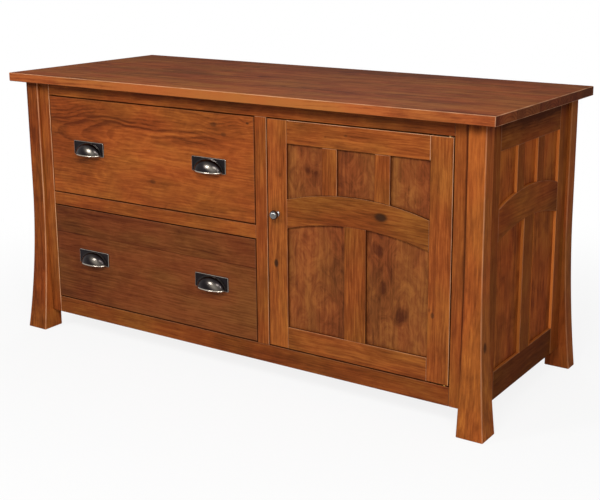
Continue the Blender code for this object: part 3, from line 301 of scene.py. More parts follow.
    calm = 1.0 - cut_end * 0.75
    depth = 0.38 + late * here * (0.30 * figure)
    depth = depth + (streak * 0.85 + fibre * 1.45) * (calm * line)
    depth = depth + broad * 0.60 + cloud * (0.85 * blotch) + tone + pored * 0.14
    # Painted shade: shut darkens the narrow sides that face a gap, partly as the darker stain such
    # sides take; below 0 it paints them lighter, a painted light
    side_grain = narrow * (1.0 - cut_end)
    depth = depth + seam * 0.34 + cast + cut_end * 0.45 + side_grain * shut
    pale, plain, dark = shades(colour)
    tint = graph.ramp(depth, [(0.0, pale), (0.42, plain), (1.0, dark)])
    hue = graph.noise(u * 4.2 + shift, local * 10.0 + 5.0, w * 10.0, 2.0)
    gold = graph.mix(graph.fade(hue, -0.16, 0.18), (1.03, 0.92, 0.95), (0.98, 1.10, 1.02))
    tint = graph.mix(1.0, tint, gold, "MULTIPLY")
    tint = graph.mix(core, tint, (0.030, 0.013, 0.006))
    # Painted light: lit turns the narrow sides a lit orange
    if lit:
        tint = graph.mix(side_grain * lit, tint, (0.84, 0.25, 0.05))

    # Painted highlight along the eased edges that look up or to the right, as if lit from there,
    # and painted shade along the others
    flat = graph.maths("MAXIMUM", normal[0], graph.maths("MAXIMUM", normal[1], normal[2]))
    eased_edge = graph.fade(flat, 0.90, 0.965, 1.0, 0.0)
    highlight_break = graph.fade(graph.noise(u * 21.0, v * 21.0, w * 21.0, 2.0), -0.3, 0.2, 0.35, 1.0)
    facing_light = graph.fade(graph.maths("MAXIMUM", facing[0], facing[2]), 0.05, 0.35)
    tint = graph.mix(eased_edge * highlight_break * rim * facing_light, tint, (0.72, 0.38, 0.20))
    # Painted shade: grime darkens the eased edges that look down or to the left
    tint = graph.mix(eased_edge * (1.0 - facing_light) * grime, tint, (0.020, 0.008, 0.004))

    rough = 0.40 + cloud * 0.10 + fibre * 0.08 + pored * 0.12
    height = fibre * 0.35 - pored * 0.5 - late * 0.12 - seam * 1.2
    return graph.finish(
        Base_Color=tint,
        Roughness=rough,
        Specular_IOR_Level=0.0,
        Coat_Weight=(1.0 - pored * 0.5) * coat,
        Coat_Roughness=0.24,
        Normal=graph.bump(height, 0.28, 0.0006),
    )


def plated(name, colour, roughness, edge=None, brushed=0.0, along=0):
    """Polished or brushed plate. Faces marked as edges take the edge's colour as a painted
    highlight, where it has one, and points marked as a crown highlight take some of it, a painted
    highlight too.
    """
    graph = Graph(bpy.data.materials.new(name))
    point = graph.place()
    scales = [420.0, 420.0, 420.0]
    if brushed:
        scales[along] = 14.0
    hair = graph.noise(*(part * scale for part, scale in zip(point, scales)), 3.0, 0.6)
    haze = graph.noise(*(part * 38.0 for part in point), 3.0, 0.6)
    tint = graph.mix(graph.fade(haze, -0.25, 0.25), [part * 0.78 for part in colour],
                     [min(part * 1.2, 1.0) for part in colour])
    if edge:
        marked = graph.node("ShaderNodeAttribute", {"attribute_name": "edge"}, out="Fac")
        rubbed = graph.node("ShaderNodeAttribute", {"attribute_name": "rubbed"}, out="Fac")
        # Painted highlight: points marked as the crown highlight take half the edge colour
        tint = graph.mix(rubbed, tint, [part * 0.5 for part in edge])
        # Painted highlight on the faces marked as edges
        tint = graph.mix(marked * (haze * 0.5 + 0.8), tint, edge)
    rough = roughness + haze * 0.08 + hair * (0.04 + brushed)
    return graph.finish(
        Base_Color=tint,
        Metallic=1.0,
        Roughness=rough,
        Normal=graph.bump(hair, 0.05 + brushed * 0.6, 0.0002),
    )


def moulded(name, colour):
    """Moulded plastic with a fine even texture."""
    graph = Graph(bpy.data.materials.new(name))
    point = graph.place()
    grit = graph.noise(*(part * 900.0 for part in point), 2.0)
    haze = graph.noise(*(part * 60.0 for part in point), 2.0)
    tint = graph.mix(graph.fade(haze, -0.3, 0.3), [part * 0.85 for part in colour],
                     [part * 1.1 for part in colour])
    return graph.finish(Base_Color=tint, Roughness=0.48 + grit * 0.1,
                        Normal=graph.bump(grit, 0.15, 0.0003))


def paint(obj, material):
    """Puts a material on every slot of a piece or CAD node."""
    if not obj.material_slots:
        obj.data.materials.append(material)
    for part in obj.material_slots:
        part.material = material


def put_in_scene(name, bm, material):
    """Turns a finished bmesh into an object."""
    mesh = bpy.data.meshes.new(name)
    bm.to_mesh(mesh)
    bm.free()
    mesh.materials.append(material)
    obj = bpy.data.objects.new(name, mesh)
    bpy.context.scene.collection.objects.link(obj)
    return obj


def make_piece(name, bm, material, body, slot, *stands_for):
    """Turns a finished bmesh into a named piece that rides on its body."""
    bmesh.ops.recalc_face_normals(bm, faces=bm.faces)
    piece = put_in_scene(name, bm, material)
    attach(piece, body)
    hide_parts(*stands_for)
    return piece


def block(low, high):
    """A bmesh box between two corners."""
    bm = bmesh.new()
    bmesh.ops.create_cube(bm, size=1.0)
    size = [b - a for a, b in zip(low, high)]
    centre = [(a + b) / 2 for a, b in zip(low, high)]
    bmesh.ops.scale(bm, vec=size, verts=bm.verts)
    bmesh.ops.translate(bm, vec=centre, verts=bm.verts)
    return bm


def cut_along(bm, axis, cuts):
    """Divides the edges that run along one axis, so that the member can bend."""
    edges = [e for e in bm.edges if abs((e.verts[1].co - e.verts[0].co).normalized()[axis]) > 0.9]
    bmesh.ops.subdivide_edges(bm, edges=edges, cuts=cuts, use_grid_fill=True)


def bevel(bm, edges, width, segments, layer, eased_edge):
    """Rounds the edges, and marks the new faces by how far they are worn."""
    made = bmesh.ops.bevel(bm, geom=edges, offset=width, offset_type="OFFSET", segments=segments,
                           profile=0.5, affect="EDGES", material=-1, clamp_overlap=True)
    for face in made["faces"]:
        if face.is_valid:
            face[layer] = eased_edge


def ease(bm, width):
    """Rounds all sharp edges, and marks the new faces as edges."""
    layer = bm.faces.layers.float.new("edge")
    sharp = [e for e in bm.edges
             if len(e.link_faces) == 2 and e.calc_face_angle() > math.radians(40)]
    bevel(bm, sharp, width, 2, layer, 1.0)


def corners(bm):
    """The lowest and the highest corner of a bmesh."""
    return [[pick(v.co[i] for v in bm.verts) for i in range(3)] for pick in (min, max)]


def a_colour(name, description, default):
    """A colour that a user can change."""
    return FloatVectorProperty(name=name, description=description, subtype="COLOR", size=3,
                               min=0.0, max=1.0, default=default)


def a_length(name, description, default, low, high):
    """A size that a user can change."""
    return FloatProperty(name=name, description=description, default=default, min=low, max=high,
                         unit="LENGTH")


def a_count(name, description, default, low, high):
    """A number of things that a user can change."""
    return IntProperty(name=name, description=description, default=default, min=low, max=high)


def a_power(name, description, default):
    """A lamp's power that a user can change."""
    return FloatProperty(name=name, description=description, default=default, min=0.0,
                         unit="POWER")


class WoodSettings(bpy.types.PropertyGroup):
    """The woods' colours and figure"""

    cherry: a_colour("Stained Cherry", "Middle tone of the case's wood", (0.252, 0.063, 0.0130))
    top_cherry: a_colour("Top", "Middle tone of the plank top", (0.238, 0.060, 0.0165))
    board_cherry: a_colour("Inside Boards", "Middle tone of the boards inside the case",
                           (0.320, 0.088, 0.026))
    maple: a_colour("Drawer Maple", "Middle tone of the drawer boxes", (0.620, 0.430, 0.250))
    ring_spacing: a_length("Ring Spacing", "Mean distance between the tree's rings",
                           0.0085, 0.002, 0.03)
    edge_ease: a_length("Edge Ease", "Rounding of the posts' edges", 0.0025, 0.0003, 0.004)


class MetalSettings(bpy.types.PropertyGroup):
    """The metals' and the catch's colours"""

    black_nickel: a_colour("Pulls", "Colour of the black nickel pulls", (0.0175, 0.0140, 0.0150))
    # edge_highlight is the colour of the painted highlight on the pulls' borders, lips and arcs,
    # and half of it goes on the crown
    edge_highlight: a_colour("Pull Edges", "Colour of the pulls where the plate is polished through",
                          (0.40, 0.35, 0.29))
    nickel: a_colour("Knob", "Colour of the polished nickel knob", (0.16, 0.155, 0.15))
    zinc: a_colour("Slides", "Colour of the zinc plated steel", (0.560, 0.570, 0.580))
    brass: a_colour("Pivots", "Colour of the brass pivot leaves and pins", (0.640, 0.440, 0.180))
    plastic: a_colour("Catch", "Colour of the moulded catch", (0.110, 0.060, 0.035))


class ShapeSettings(bpy.types.PropertyGroup):
    """Sizes of the finely shaped pieces"""

    flare: a_length("Foot Flare", "How far a post's face sweeps out at the floor",
                    0.025, 0.001, 0.05)
    flare_height: a_length("Flare Height", "Height where the sweep starts", 0.430, 0.1, 0.7)
    post_cuts: a_count("Post Cuts", "Divisions along a post", 55, 8, 120)
    arch_cuts: a_count("Arch Cuts", "Divisions along an arched rail", 40, 8, 120)
    end_stile: a_length("End Stile Width", "Width of the end frames' stiles", 0.056, 0.02, 0.1)
    end_crown: a_length("End Arch Crown", "Height of the arched rail's lower edge at its crown",
                        0.473, 0.2, 0.6)
    end_rise: a_length("End Arch Rise", "How much lower the arched rail is at its ends",
                       0.026, 0.001, 0.1)
    box_wall: a_length("Box Wall", "Thickness of the drawer boxes' walls", 0.012, 0.006, 0.02)
    tails: a_count("Dovetails", "Tails at each corner of a drawer box", 6, 2, 12)
    knob_radius: a_length("Knob Radius", "Radius of the door's knob", 0.012, 0.006, 0.03)


class StageSettings(bpy.types.PropertyGroup):
    """The floor, the lamps and the camera's lens"""

    floor: a_colour("Floor", "Colour of the pale floor", (0.86, 0.86, 0.86))
    front: a_power("Front Lamp", "Power of the large lamp in front", 48.5)
    left: a_power("Left Lamp", "Power of the lamp on the left", 32.0)
    right: a_power("Right Lamp", "Power of the tall narrow lamp on the right", 35.0)
    back: a_power("Back Lamp", "Power of the lamp behind", 22.0)
    ambient: FloatProperty(name="Room Light", description="Even light from all round",
                           default=0.155, min=0.0)
    lens: FloatProperty(name="Lens", description="Focal length of the camera", default=65.898,
                        min=10.0, max=300.0, unit="CAMERA")


def tinted(colour, red, green=None, blue=None):
    """A colour brightened or darkened part by part."""
    green = red if green is None else green
    blue = green if blue is None else blue
    return colour[0] * red, colour[1] * green, colour[2] * blue


def dress(node, grain, face, colour, **look):
    """Gives a CAD node its own board of wood."""
    low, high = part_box(node)
    paint(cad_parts[node], wood(node + "_wood", low, high, grain, face, colour, **look))


class CREDENZA_OT_top(bpy.types.Operator):
    """Figure the plank top"""

    bl_idname = "credenza.top"
    bl_label = "Plank Top"

    def execute(self, context):
        woods = context.scene.credenza_wood
        # shut below 0 paints the front and back edges lighter, a painted light; rim paints a
        # highlight on the upper eased edges and grime paints shade on the others
        dress("top", "X", "Z", woods.top_cherry, seed=3.0, planks=(0.19, 0.41, 0.60, 0.80),
              spacing=woods.ring_spacing, figure=1.0, pith=(0.01, -0.075), tilt=0.035, rim=0.7,
              coat=0.05, line=1.3, stretch=2.4, shut=-0.26, grime=0.5, patches=self.marks())
        return {"FINISHED"}

    def marks(self):
        """Dark and light streaks in the planks: x, y, half sizes and depth."""
        return ((0.68, -0.31, 0.20, 0.030, 0.50), (-0.62, -0.31, 0.20, 0.035, 0.16),
                (0.05, -0.31, 0.33, 0.030, -0.22), (0.00, 0.27, 1.30, 0.075, 0.22),
                (0.20, 0.24, 0.30, 0.040, 0.16), (0.36, 0.125, 0.17, 0.010, -0.30),
                (-0.56, 0.165, 0.12, 0.010, -0.22), (-0.30, -0.03, 0.10, 0.028, 0.24),
                (-0.08, 0.02, 0.09, 0.028, 0.24), (0.39, 0.025, 0.08, 0.020, 0.20),
                (0.30, -0.145, 0.24, 0.020, 0.22), (0.58, -0.165, 0.10, 0.026, 0.30),
                (-0.46, -0.13, 0.14, 0.045, 0.16), (-0.21, 0.00, 0.06, 0.030, -0.18),
                (-0.03, -0.09, 0.16, 0.028, -0.16), (0.38, -0.09, 0.11, 0.016, -0.16),
                (0.06, -0.21, 0.11, 0.010, -0.18), (0.70, -0.24, 0.07, 0.040, -0.16))


class CREDENZA_OT_face_frame(bpy.types.Operator):
    """Give the face frame's stiles and rails their wood"""

    bl_idname = "credenza.face_frame"
    bl_label = "Face Frame"

    def execute(self, context):
        woods = context.scene.credenza_wood
        # Each stile: name, tone, seed, painted shade on its narrow sides (shut; below 0 a painted
        # light) and a painted highlight on its eased edges (rim)
        stiles = (("stile_left", 0.86, 11.0, -0.2, 0.95), ("stile_middle", 0.84, 12.0, 0.5, 0.6),
                  ("stile_right", 0.88, 13.0, 0.5, 0.2))
        rails = (("rail_top", 0.85, 14.0), ("rail_divider", 0.93, 15.0),
                 ("rail_bottom", 0.70, 16.0))
        for node, tone, seed, shut, rim in stiles:
            # Painted shadow under the top's overhang, and on the right stile a painted shadow line
            # beside the post, which stands proud of it
            shadow = ((UNDER_TOP, 0.0, 0.015, 2.0, 0.35),)
            if node == "stile_right":
                shadow += ((0.38, 0.6735, 1.2, 0.0042, 1.1),)
            dress(node, "Z", "Y", tinted(woods.cherry, tone), seed=seed, figure=0.35,
                  spacing=0.006, pith=(0.16, -0.05), tilt=0.01, shut=shut, rim=rim,
                  patches=shadow)
        for node, tone, seed in rails:
            # Painted shadow under the top's overhang on the top rail; shut paints shade on the
            # narrow sides in the gaps, and grime paints shade on the eased edges that look down or
            # to the left
            shadow = ((0.0, UNDER_TOP, 2.0, 0.015, 0.45),) if node == "rail_top" else ()
            dress(node, "X", "Y", tinted(woods.cherry, tone), seed=seed, figure=0.45,
                  spacing=0.006, pith=(0.12, -0.05), tilt=0.01, shut=0.7, rim=0.15, grime=0.5,
                  patches=shadow)
        return {"FINISHED"}


class CREDENZA_OT_posts(bpy.types.Operator):
    """Shape the four posts, whose outer faces sweep out into wide feet"""

    bl_idname = "credenza.posts"
    bl_label = "Swept Posts"

    def execute(self, context):
        woods, shape = context.scene.credenza_wood, context.scene.credenza_shape
        height, flare = shape.flare_height, shape.flare
        radius = (height ** 2 + flare ** 2) / (2 * flare)
        # Name, which way it sweeps out, whether it is a front post, tone, seed, a painted highlight
        # on its eased edges (rim) and painted shade on its front and back faces (shut)
        posts = (("post_front_left", -1, True, 1.12, 21.0, 0.75, 0.42),
                 ("post_front_right", 1, True, 1.16, 22.0, 0.40, 0.06),
                 ("post_back_left", -1, False, 1.10, 23.0, 0.30, 0.06),
                 ("post_back_right", 1, False, 1.10, 24.0, 0.30, 0.06))
        for node, outward, front, tone, seed, rim, shut in posts:
            low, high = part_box(node)
            low, high = list(low), list(high)
            if outward < 0:
                low[0] += flare
            else:
                high[0] -= flare
            if front:
                low[1] += flare
            bm = block(low, high)
            cut_along(bm, 2, shape.post_cuts)
            outer = high[0] if outward > 0 else low[0]
            for vert in bm.verts:
                drop = max(height - vert.co.z, 0.0)
                sweep = radius - math.sqrt(radius ** 2 - drop ** 2)
                if abs(vert.co.x - outer) < 1e-5:
                    vert.co.x += outward * sweep
                if front and abs(vert.co.y - low[1]) < 1e-5:
                    vert.co.y -= sweep
            ease(bm, woods.edge_ease)
            knots = ((0.219, -0.259, 0.010, 0.8),) if node == "post_front_right" else ()
            # Painted shadow under the top's overhang at the post's head
            material = wood(node + "_wood", low, high, "Z", "X", tinted(woods.cherry, tone),
                            seed=seed, figure=0.45, spacing=0.0065, pith=(0.09, -0.06 * outward),
                            tilt=0.02, knots=knots, rim=rim, coat=0.05, shut=shut,
                            patches=((UNDER_TOP, 0.0, 0.014, 1.0, 0.4),))
            make_piece(node + "_shaped", bm, material, "cabinet", "cherry_post", node)
        return {"FINISHED"}


class CREDENZA_OT_end_frames(bpy.types.Operator):
    """Build each end frame from its eight members"""

    bl_idname = "credenza.end_frames"
    bl_label = "End Frames"

    def execute(self, context):
        woods, shape = context.scene.credenza_wood, context.scene.credenza_shape
        for side, outward in (("left", -1), ("right", 1)):
            self.build(side, outward, woods, shape)
        return {"FINISHED"}

    def build(self, side, outward, woods, shape):
        node = "end_frame_" + side
        low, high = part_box(node)
        front = max(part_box("post_front_" + side)[1][1], low[1])
        back = min(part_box("post_back_" + side)[0][1], high[1])
        bottom, top = low[2], high[2]
        width = shape.end_stile
        x_low, x_high = sorted((END_INNER * outward, END_OUTER * outward))
        field_front, field_back = front + width + JOINT, back - width - JOINT
        centre = (field_front + field_back) / 2
        half = (field_back - field_front) / 2
        arc = (half ** 2 + shape.end_rise ** 2) / (2 * shape.end_rise)

        def lower_edge(y):
            across = min(abs(y - centre), half)
            return shape.end_crown - (arc - math.sqrt(arc ** 2 - across ** 2))

        # Name, grain, reach across, reach in height, tone, and how much painted light the narrow
        # sides take.
        # A height of 0 is replaced by the arch's edge.
        rail_top, rail_bottom = top - END_RAIL_TOP, bottom + END_RAIL_BOTTOM
        near, far = END_MUNTIN
        field = (field_front, field_back)
        members = (
            ("stile_front", "Z", (front, front + width), (bottom, top), 0.84, 0.10),
            ("stile_back", "Z", (back - width, back), (bottom, top), 0.84, 0.60),
            ("rail_top", "Y", field, (rail_top, top), 0.84, 0.0),
            ("rail_bottom", "Y", field, (bottom, rail_bottom), 0.43, 0.30),
            ("rail_arch", "Y", field, (0.0, END_RAIL_ARCH), 0.94, 0.15),
            ("mullion", "Z", (centre - END_MULLION, centre + END_MULLION), (rail_bottom, 0.0),
             0.80, 0.22),
            ("muntin_front", "Z", (centre - far, centre - near), (0.0, rail_top), 0.84, 0.50),
            ("muntin_back", "Z", (centre + near, centre + far), (0.0, rail_top), 0.84, 0.50),
        )
        # Painted shadow under the top's overhang, and painted shade at the arched rail's back end
        shadows = {"rail_top": ((0.0, UNDER_TOP, 1.0, 0.034, 1.00),),
                   "stile_front": ((UNDER_TOP, 0.0, 0.030, 2.0, 0.70),),
                   "stile_back": ((UNDER_TOP, 0.0, 0.030, 2.0, 0.70),),
                   "rail_arch": ((field_back, 0.46, 0.055, 1.0, 0.34),)}
        for number, (name, grain, reach, rise, tone, lit) in enumerate(members):
            bm = block((x_low, reach[0], rise[0]), (x_high, reach[1], rise[1]))
            cut_along(bm, 1, shape.arch_cuts if name == "rail_arch" else 8)
            for vert in bm.verts:
                if name == "rail_arch":
                    vert.co.z += lower_edge(vert.co.y)
                elif name == "mullion" and vert.co.z < rail_bottom - 0.001:
                    vert.co.z = lower_edge(vert.co.y)
                elif name.startswith("muntin") and vert.co.z < 0.001:
                    vert.co.z = lower_edge(vert.co.y) + END_RAIL_ARCH
            ease(bm, 0.0011)
            title = "end_" + side + "_" + name
            # shut below 0 and lit paint the narrow sides lighter, a painted light, and rim paints a
            # highlight on the eased edges
            material = wood(title + "_wood", *corners(bm), grain, "X", tinted(woods.cherry, tone),
                            seed=31.0 + number + 10 * outward, figure=0.45, spacing=0.0065,
                            pith=(0.10, -0.06 * outward), tilt=0.015, shut=-0.5, grime=0.0,
                            coat=0.03, patches=shadows.get(name, ()), rim=0.26, line=0.75, lit=lit)
            make_piece(title, bm, material, "cabinet", "cherry_frame", node)


class CREDENZA_OT_shelf_pins(bpy.types.Operator):
    """Turn the shelf pins at the right end"""

    bl_idname = "credenza.shelf_pins"
    bl_label = "Shelf Pins"

    def execute(self, context):
        metals = context.scene.credenza_metal
        brass = plated("brass_pins", metals.brass, 0.26)
        low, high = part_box("shelf")
        turn = Matrix.Rotation(math.radians(90), 4, "Y")
        from_edge, clear = 0.017, 0.0003
        # Each pin is a rod in the wall, with a collar against it: radius, reach in and reach out
        rod, collar = (0.0025, 0.009, 0.004), (0.0040, 0.0012, 0.0)
        bm = bmesh.new()
        for y in (low[1] + from_edge, high[1] - from_edge):
            for radius, inside, outside in (rod, collar):
                x = END_INNER + (outside - inside) / 2
                place = Matrix.Translation((x, y, low[2] - radius - clear))
                bmesh.ops.create_cone(bm, cap_ends=True, segments=24, radius1=radius,
                                      radius2=radius, depth=inside + outside, matrix=place @ turn)
        ease(bm, 0.0003)
        make_piece("shelf_pins_right", bm, brass, "cabinet", "brass", "end_frame_right")
        return {"FINISHED"}


class CREDENZA_OT_panels(bpy.types.Operator):
    """Give the end panels and the door panels their wood"""

    bl_idname = "credenza.panels"
    bl_label = "Panels"

    def execute(self, context):
        woods, shape = context.scene.credenza_wood, context.scene.credenza_shape
        for side, seed, outward in (("left", 51.0, -1), ("right", 52.0, 1)):
            dress("end_panel_" + side, "Z", "X", tinted(woods.cherry, 1.06, 0.97), seed=seed,
                  figure=0.8, patches=self.end_shadows(side, shape.end_stile),
                  spacing=woods.ring_spacing, pith=(0.0, -0.07 * outward), tilt=0.03,
                  rim=0.0, line=1.05, blotch=1.7, coat=0.03)
        names = [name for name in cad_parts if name.startswith("door_panel")]
        for number, node in enumerate(sorted(names)):
            low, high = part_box(node)
            marks = tuple(mark for mark in self.smudges()
                          if low[0] < mark[1] < high[0] and low[2] < mark[0] < high[2])
            dress(node, "Z", "Y", tinted(woods.cherry, 0.73, 0.81, 1.04), seed=61.0 + number,
                  figure=0.6, spacing=woods.ring_spacing, pith=(0.02 * (number - 2), -0.07),
                  tilt=0.035, rim=0.0, blotch=2.0, line=0.75, swirl=2.2, patches=marks)
        return {"FINISHED"}

    def end_shadows(self, side, stile):
        """Painted shade on the panel along the front edge of each opening in an end frame, where
        the member in front stands proud, and a lighter band across the upper openings.
        """
        front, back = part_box("post_front_" + side)[1][1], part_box("post_back_" + side)[0][1]
        middle = (front + back) / 2
        lower, upper = (0.27, 0.20), (0.61, 0.075)
        near, far = END_MUNTIN
        lines = ((front + stile, *lower), (middle + END_MULLION, *lower), (front + stile, *upper),
                 (middle - near, *upper), (middle + far, *upper))
        lines = [(height, y + 0.002, half, 0.007, 0.80) for y, height, half in lines]
        return (*lines, (0.64, 0.0, 0.085, 0.6, -0.34))

    def smudges(self):
        """Dark and light marks in the door's panels: height, x, half sizes and depth."""
        return ((0.578, 0.250, 0.010, 0.020, 0.50), (0.552, 0.235, 0.030, 0.030, 0.16),
                (0.600, 0.215, 0.022, 0.018, -0.16), (0.590, 0.375, 0.030, 0.025, -0.14),
                (0.545, 0.520, 0.030, 0.040, -0.12), (0.405, 0.228, 0.012, 0.007, 0.34),
                (0.350, 0.330, 0.120, 0.020, 0.22), (0.320, 0.240, 0.080, 0.030, -0.18),
                (0.200, 0.290, 0.020, 0.030, 0.16), (0.254, 0.505, 0.022, 0.022, 0.55),
                (0.345, 0.478, 0.030, 0.008, 0.30), (0.350, 0.452, 0.110, 0.026, 0.30),
                (0.400, 0.448, 0.012, 0.010, 0.34), (0.300, 0.550, 0.100, 0.020, -0.14))


class CREDENZA_OT_door(bpy.types.Operator):
    """Give the door's members their wood"""

    bl_idname = "credenza.door"
    bl_label = "Door Frame"

    def execute(self, context):
        woods = context.scene.credenza_wood
        # Name, grain, tone, a painted highlight on the eased edges (rim), seed and knots
        members = (
            ("door_stile_latch", "Z", 0.96, 0.25, 71.0,
             ((0.330, 0.1464, 0.0085, 1.0), (0.560, 0.160, 0.005, 0.3))),
            ("door_stile_hinge", "Z", 0.90, 0.75, 72.0,
             ((0.273, 0.593, 0.006, 0.7), (0.285, 0.585, 0.004, 0.4))),
            ("door_rail_top", "X", 0.87, 0.85, 73.0,
             ((0.353, 0.676, 0.004, 0.5), (0.295, 0.668, 0.003, 0.4))),
            ("door_rail_arch", "X", 0.71, 0.45, 74.0, ((0.4513, 0.4903, 0.0135, 1.0),)),
            ("door_rail_bottom", "X", 0.84, 0.40, 75.0, ()),
            ("door_mullion", "Z", 0.79, 0.35, 76.0, ()),
            ("door_muntin_left", "Z", 0.80, 0.35, 77.0, ()),
            ("door_muntin_right", "Z", 0.82, 0.35, 78.0, ()),
        )
        for node, grain, tone, rim, seed, knots in members:
            # shut paints shade on the narrow sides in the gaps, partly as darker stain, and grime
            # paints shade on the eased edges that look down or to the left
            dress(node, grain, "Y", tinted(woods.cherry, tone, tone * 1.05), seed=seed, figure=0.5,
                  spacing=0.0062, pith=(0.11, -0.05), tilt=0.012, knots=knots, shut=0.8,
                  rim=rim, grime=0.5, line=1.3)
        return {"FINISHED"}


class CREDENZA_OT_drawers(bpy.types.Operator):
    """Give the drawer fronts and boxes their wood"""

    bl_idname = "credenza.drawers"
    bl_label = "Drawers"

    def execute(self, context):
        woods = context.scene.credenza_wood
        # On both fronts shut paints shade on the narrow sides in the gaps, partly as darker stain;
        # rim and grime paint a faint highlight and shade on the eased edges
        dress("drawer_front_upper", "X", "Y", tinted(woods.cherry, 1.01, 0.98, 0.93), seed=81.0,
              figure=1.05, spacing=0.0070, pith=(0.05, -0.055), tilt=0.06, coat=0.10,
              shut=1.0, rim=0.1, grime=0.8, line=0.85, swirl=1.6,
              knots=((-0.047, 0.669, 0.008, 0.55), (-0.015, 0.646, 0.007, 0.5),
                     (-0.260, 0.494, 0.008, 0.45), (0.062, 0.681, 0.004, 0.8)),
              patches=((-0.60, 0.62, 0.18, 0.12, 0.32), (-0.55, 0.50, 0.14, 0.05, 0.12),
                       (-0.36, 0.640, 0.16, 0.012, 0.30), (-0.11, 0.625, 0.10, 0.010, 0.20),
                       (-0.03, 0.66, 0.05, 0.025, 0.16), (-0.28, 0.49, 0.09, 0.02, 0.14),
                       (-0.25, 0.56, 0.20, 0.04, -0.12), (0.02, 0.53, 0.08, 0.06, -0.06)),
              streaks=((-0.33, 0.652, 0.20, 0.0040, 0.40), (-0.28, 0.640, 0.22, 0.0035, 0.42),
                       (-0.30, 0.646, 0.20, 0.0030, -0.20), (-0.16, 0.624, 0.20, 0.0035, 0.36),
                       (-0.20, 0.632, 0.18, 0.0040, -0.22), (-0.22, 0.662, 0.15, 0.0040, 0.30),
                       (-0.12, 0.610, 0.14, 0.0050, 0.20), (-0.26, 0.672, 0.14, 0.0035, 0.22)))
        dress("drawer_front_lower", "X", "Y", tinted(woods.cherry, 0.51, 0.54, 0.76), seed=84.0,
              figure=0.8, spacing=0.0066, pith=(0.06, -0.06), tilt=0.03, planks=(0.72,),
              shut=1.0, rim=0.1, grime=0.8, line=1.0,
              patches=((-0.40, 0.34, 0.30, 0.03, -0.16), (-0.05, 0.35, 0.15, 0.02, -0.12),
                       (-0.58, 0.24, 0.10, 0.10, 0.12)))
        return {"FINISHED"}


class CREDENZA_OT_drawer_boxes(bpy.types.Operator):
    """Build the drawer boxes from dovetailed maple"""

    bl_idname = "credenza.drawer_boxes"
    bl_label = "Drawer Boxes"

    def execute(self, context):
        woods, shape = context.scene.credenza_wood, context.scene.credenza_shape
        for level, seed in (("upper", 90.0), ("lower", 95.0)):
            self.build(level, woods.maple, seed, shape)
        return {"FINISHED"}

    def build(self, level, maple, seed, shape):
        node = "drawer_box_" + level
        low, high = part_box(node)
        wall, count = shape.box_wall, shape.tails
        pitch = (high[2] - low[2]) / count
        narrow, wide = pitch * 0.11, pitch * 0.19

        def finish(title, bm, grain, face, number, planks=()):
            title = "box_" + level + "_" + title
            # rim paints a faint highlight on the eased edges, and grime its default shade on the
            # others
            material = wood(title + "_wood", *corners(bm), grain, face, maple, line=0.45,
                            planks=planks, seed=seed + number, figure=0.5, rim=0.12, blotch=0.45)
            make_piece(title, bm, material, "drawer_" + level, "maple_box", node)

        # Each side's ends are cut to tails, which widen towards the end
        for number, (side, x) in enumerate((("left", low[0]), ("right", high[0] - wall))):
            ends = []
            for y, inward in ((low[1], wall), (high[1], -wall)):
                line = []
                for place in range(count + 1):
                    z = low[2] + pitch * place
                    below, above = max(z - narrow, low[2]), min(z + narrow, high[2])
                    foot, head = max(z - wide, low[2]), min(z + wide, high[2])
                    if place:
                        line += [(y, below), (y + inward, foot)]
                    if place < count:
                        line += [(y + inward, head), (y, above)]
                ends.append(line)
            bm = bmesh.new()
            outline = [bm.verts.new((x, y, z)) for y, z in ends[0] + ends[1][::-1]]
            board = bm.faces.new(outline)
            made = bmesh.ops.extrude_face_region(bm, geom=[board])["geom"]
            moved = [item for item in made if isinstance(item, bmesh.types.BMVert)]
            bmesh.ops.translate(bm, vec=(wall, 0, 0), verts=moved)
            finish("side_" + side, bm, "Y", "X", number, (0.45,))

        # The front and back walls carry the pins that fill the spaces between the tails
        inside_low, inside_high = low[0] + wall, high[0] - wall
        ends = (("front", low[1], wall, 2), ("back", high[1], -wall, 3))
        for end, y, inward, number in ends:
            inner = y + inward
            y_low, y_high = sorted((y, inner))
            bm = block((inside_low, y_low, low[2]), (inside_high, y_high, high[2]))
            for x_low, x_high in ((low[0], inside_low), (inside_high, high[0])):
                for place in range(count + 1):
                    z = low[2] + pitch * place
                    pin = bmesh.ops.create_cube(bm, size=1.0)["verts"]
                    for vert in pin:
                        at_end = (vert.co.y < 0) == (inward > 0)
                        reach = (narrow if at_end else wide) - 0.0001
                        spot = z + (reach if vert.co.z > 0 else -reach)
                        vert.co.x = x_high if vert.co.x > 0 else x_low
                        vert.co.y = y if at_end else inner
                        vert.co.z = min(max(spot, low[2]), high[2])
            finish(end, bm, "X", "Y", number)

        under, above = low[2] + 0.008, low[2] + 0.014
        floor = block((inside_low, low[1] + wall, under), (inside_high, high[1] - wall, above))
        finish("bottom", floor, "X", "Z", 4, (0.3, 0.64))


class CREDENZA_OT_inside(bpy.types.Operator):
    """Give the back, bottom, partition, bay side and shelf their wood"""

    bl_idname = "credenza.inside"
    bl_label = "Inside Boards"

    def execute(self, context):
        woods = context.scene.credenza_wood
        boards = (("back_panel", "X", "Y", 101.0), ("bottom_board", "X", "Z", 102.0),
                  ("partition", "Z", "X", 103.0), ("drawer_bay_side", "Z", "X", 104.0),
                  ("shelf", "X", "Z", 105.0))
        for node, grain, face, seed in boards:
            # rim paints a highlight on the eased edges, and grime its default shade on the others
            dress(node, grain, face, woods.board_cherry, seed=seed, figure=0.9, rim=0.2,
                  planks=(0.28, 0.55, 0.8), spacing=woods.ring_spacing, blotch=0.5,
                  line=0.7, stretch=2.0, coat=0.05)
        return {"FINISHED"}


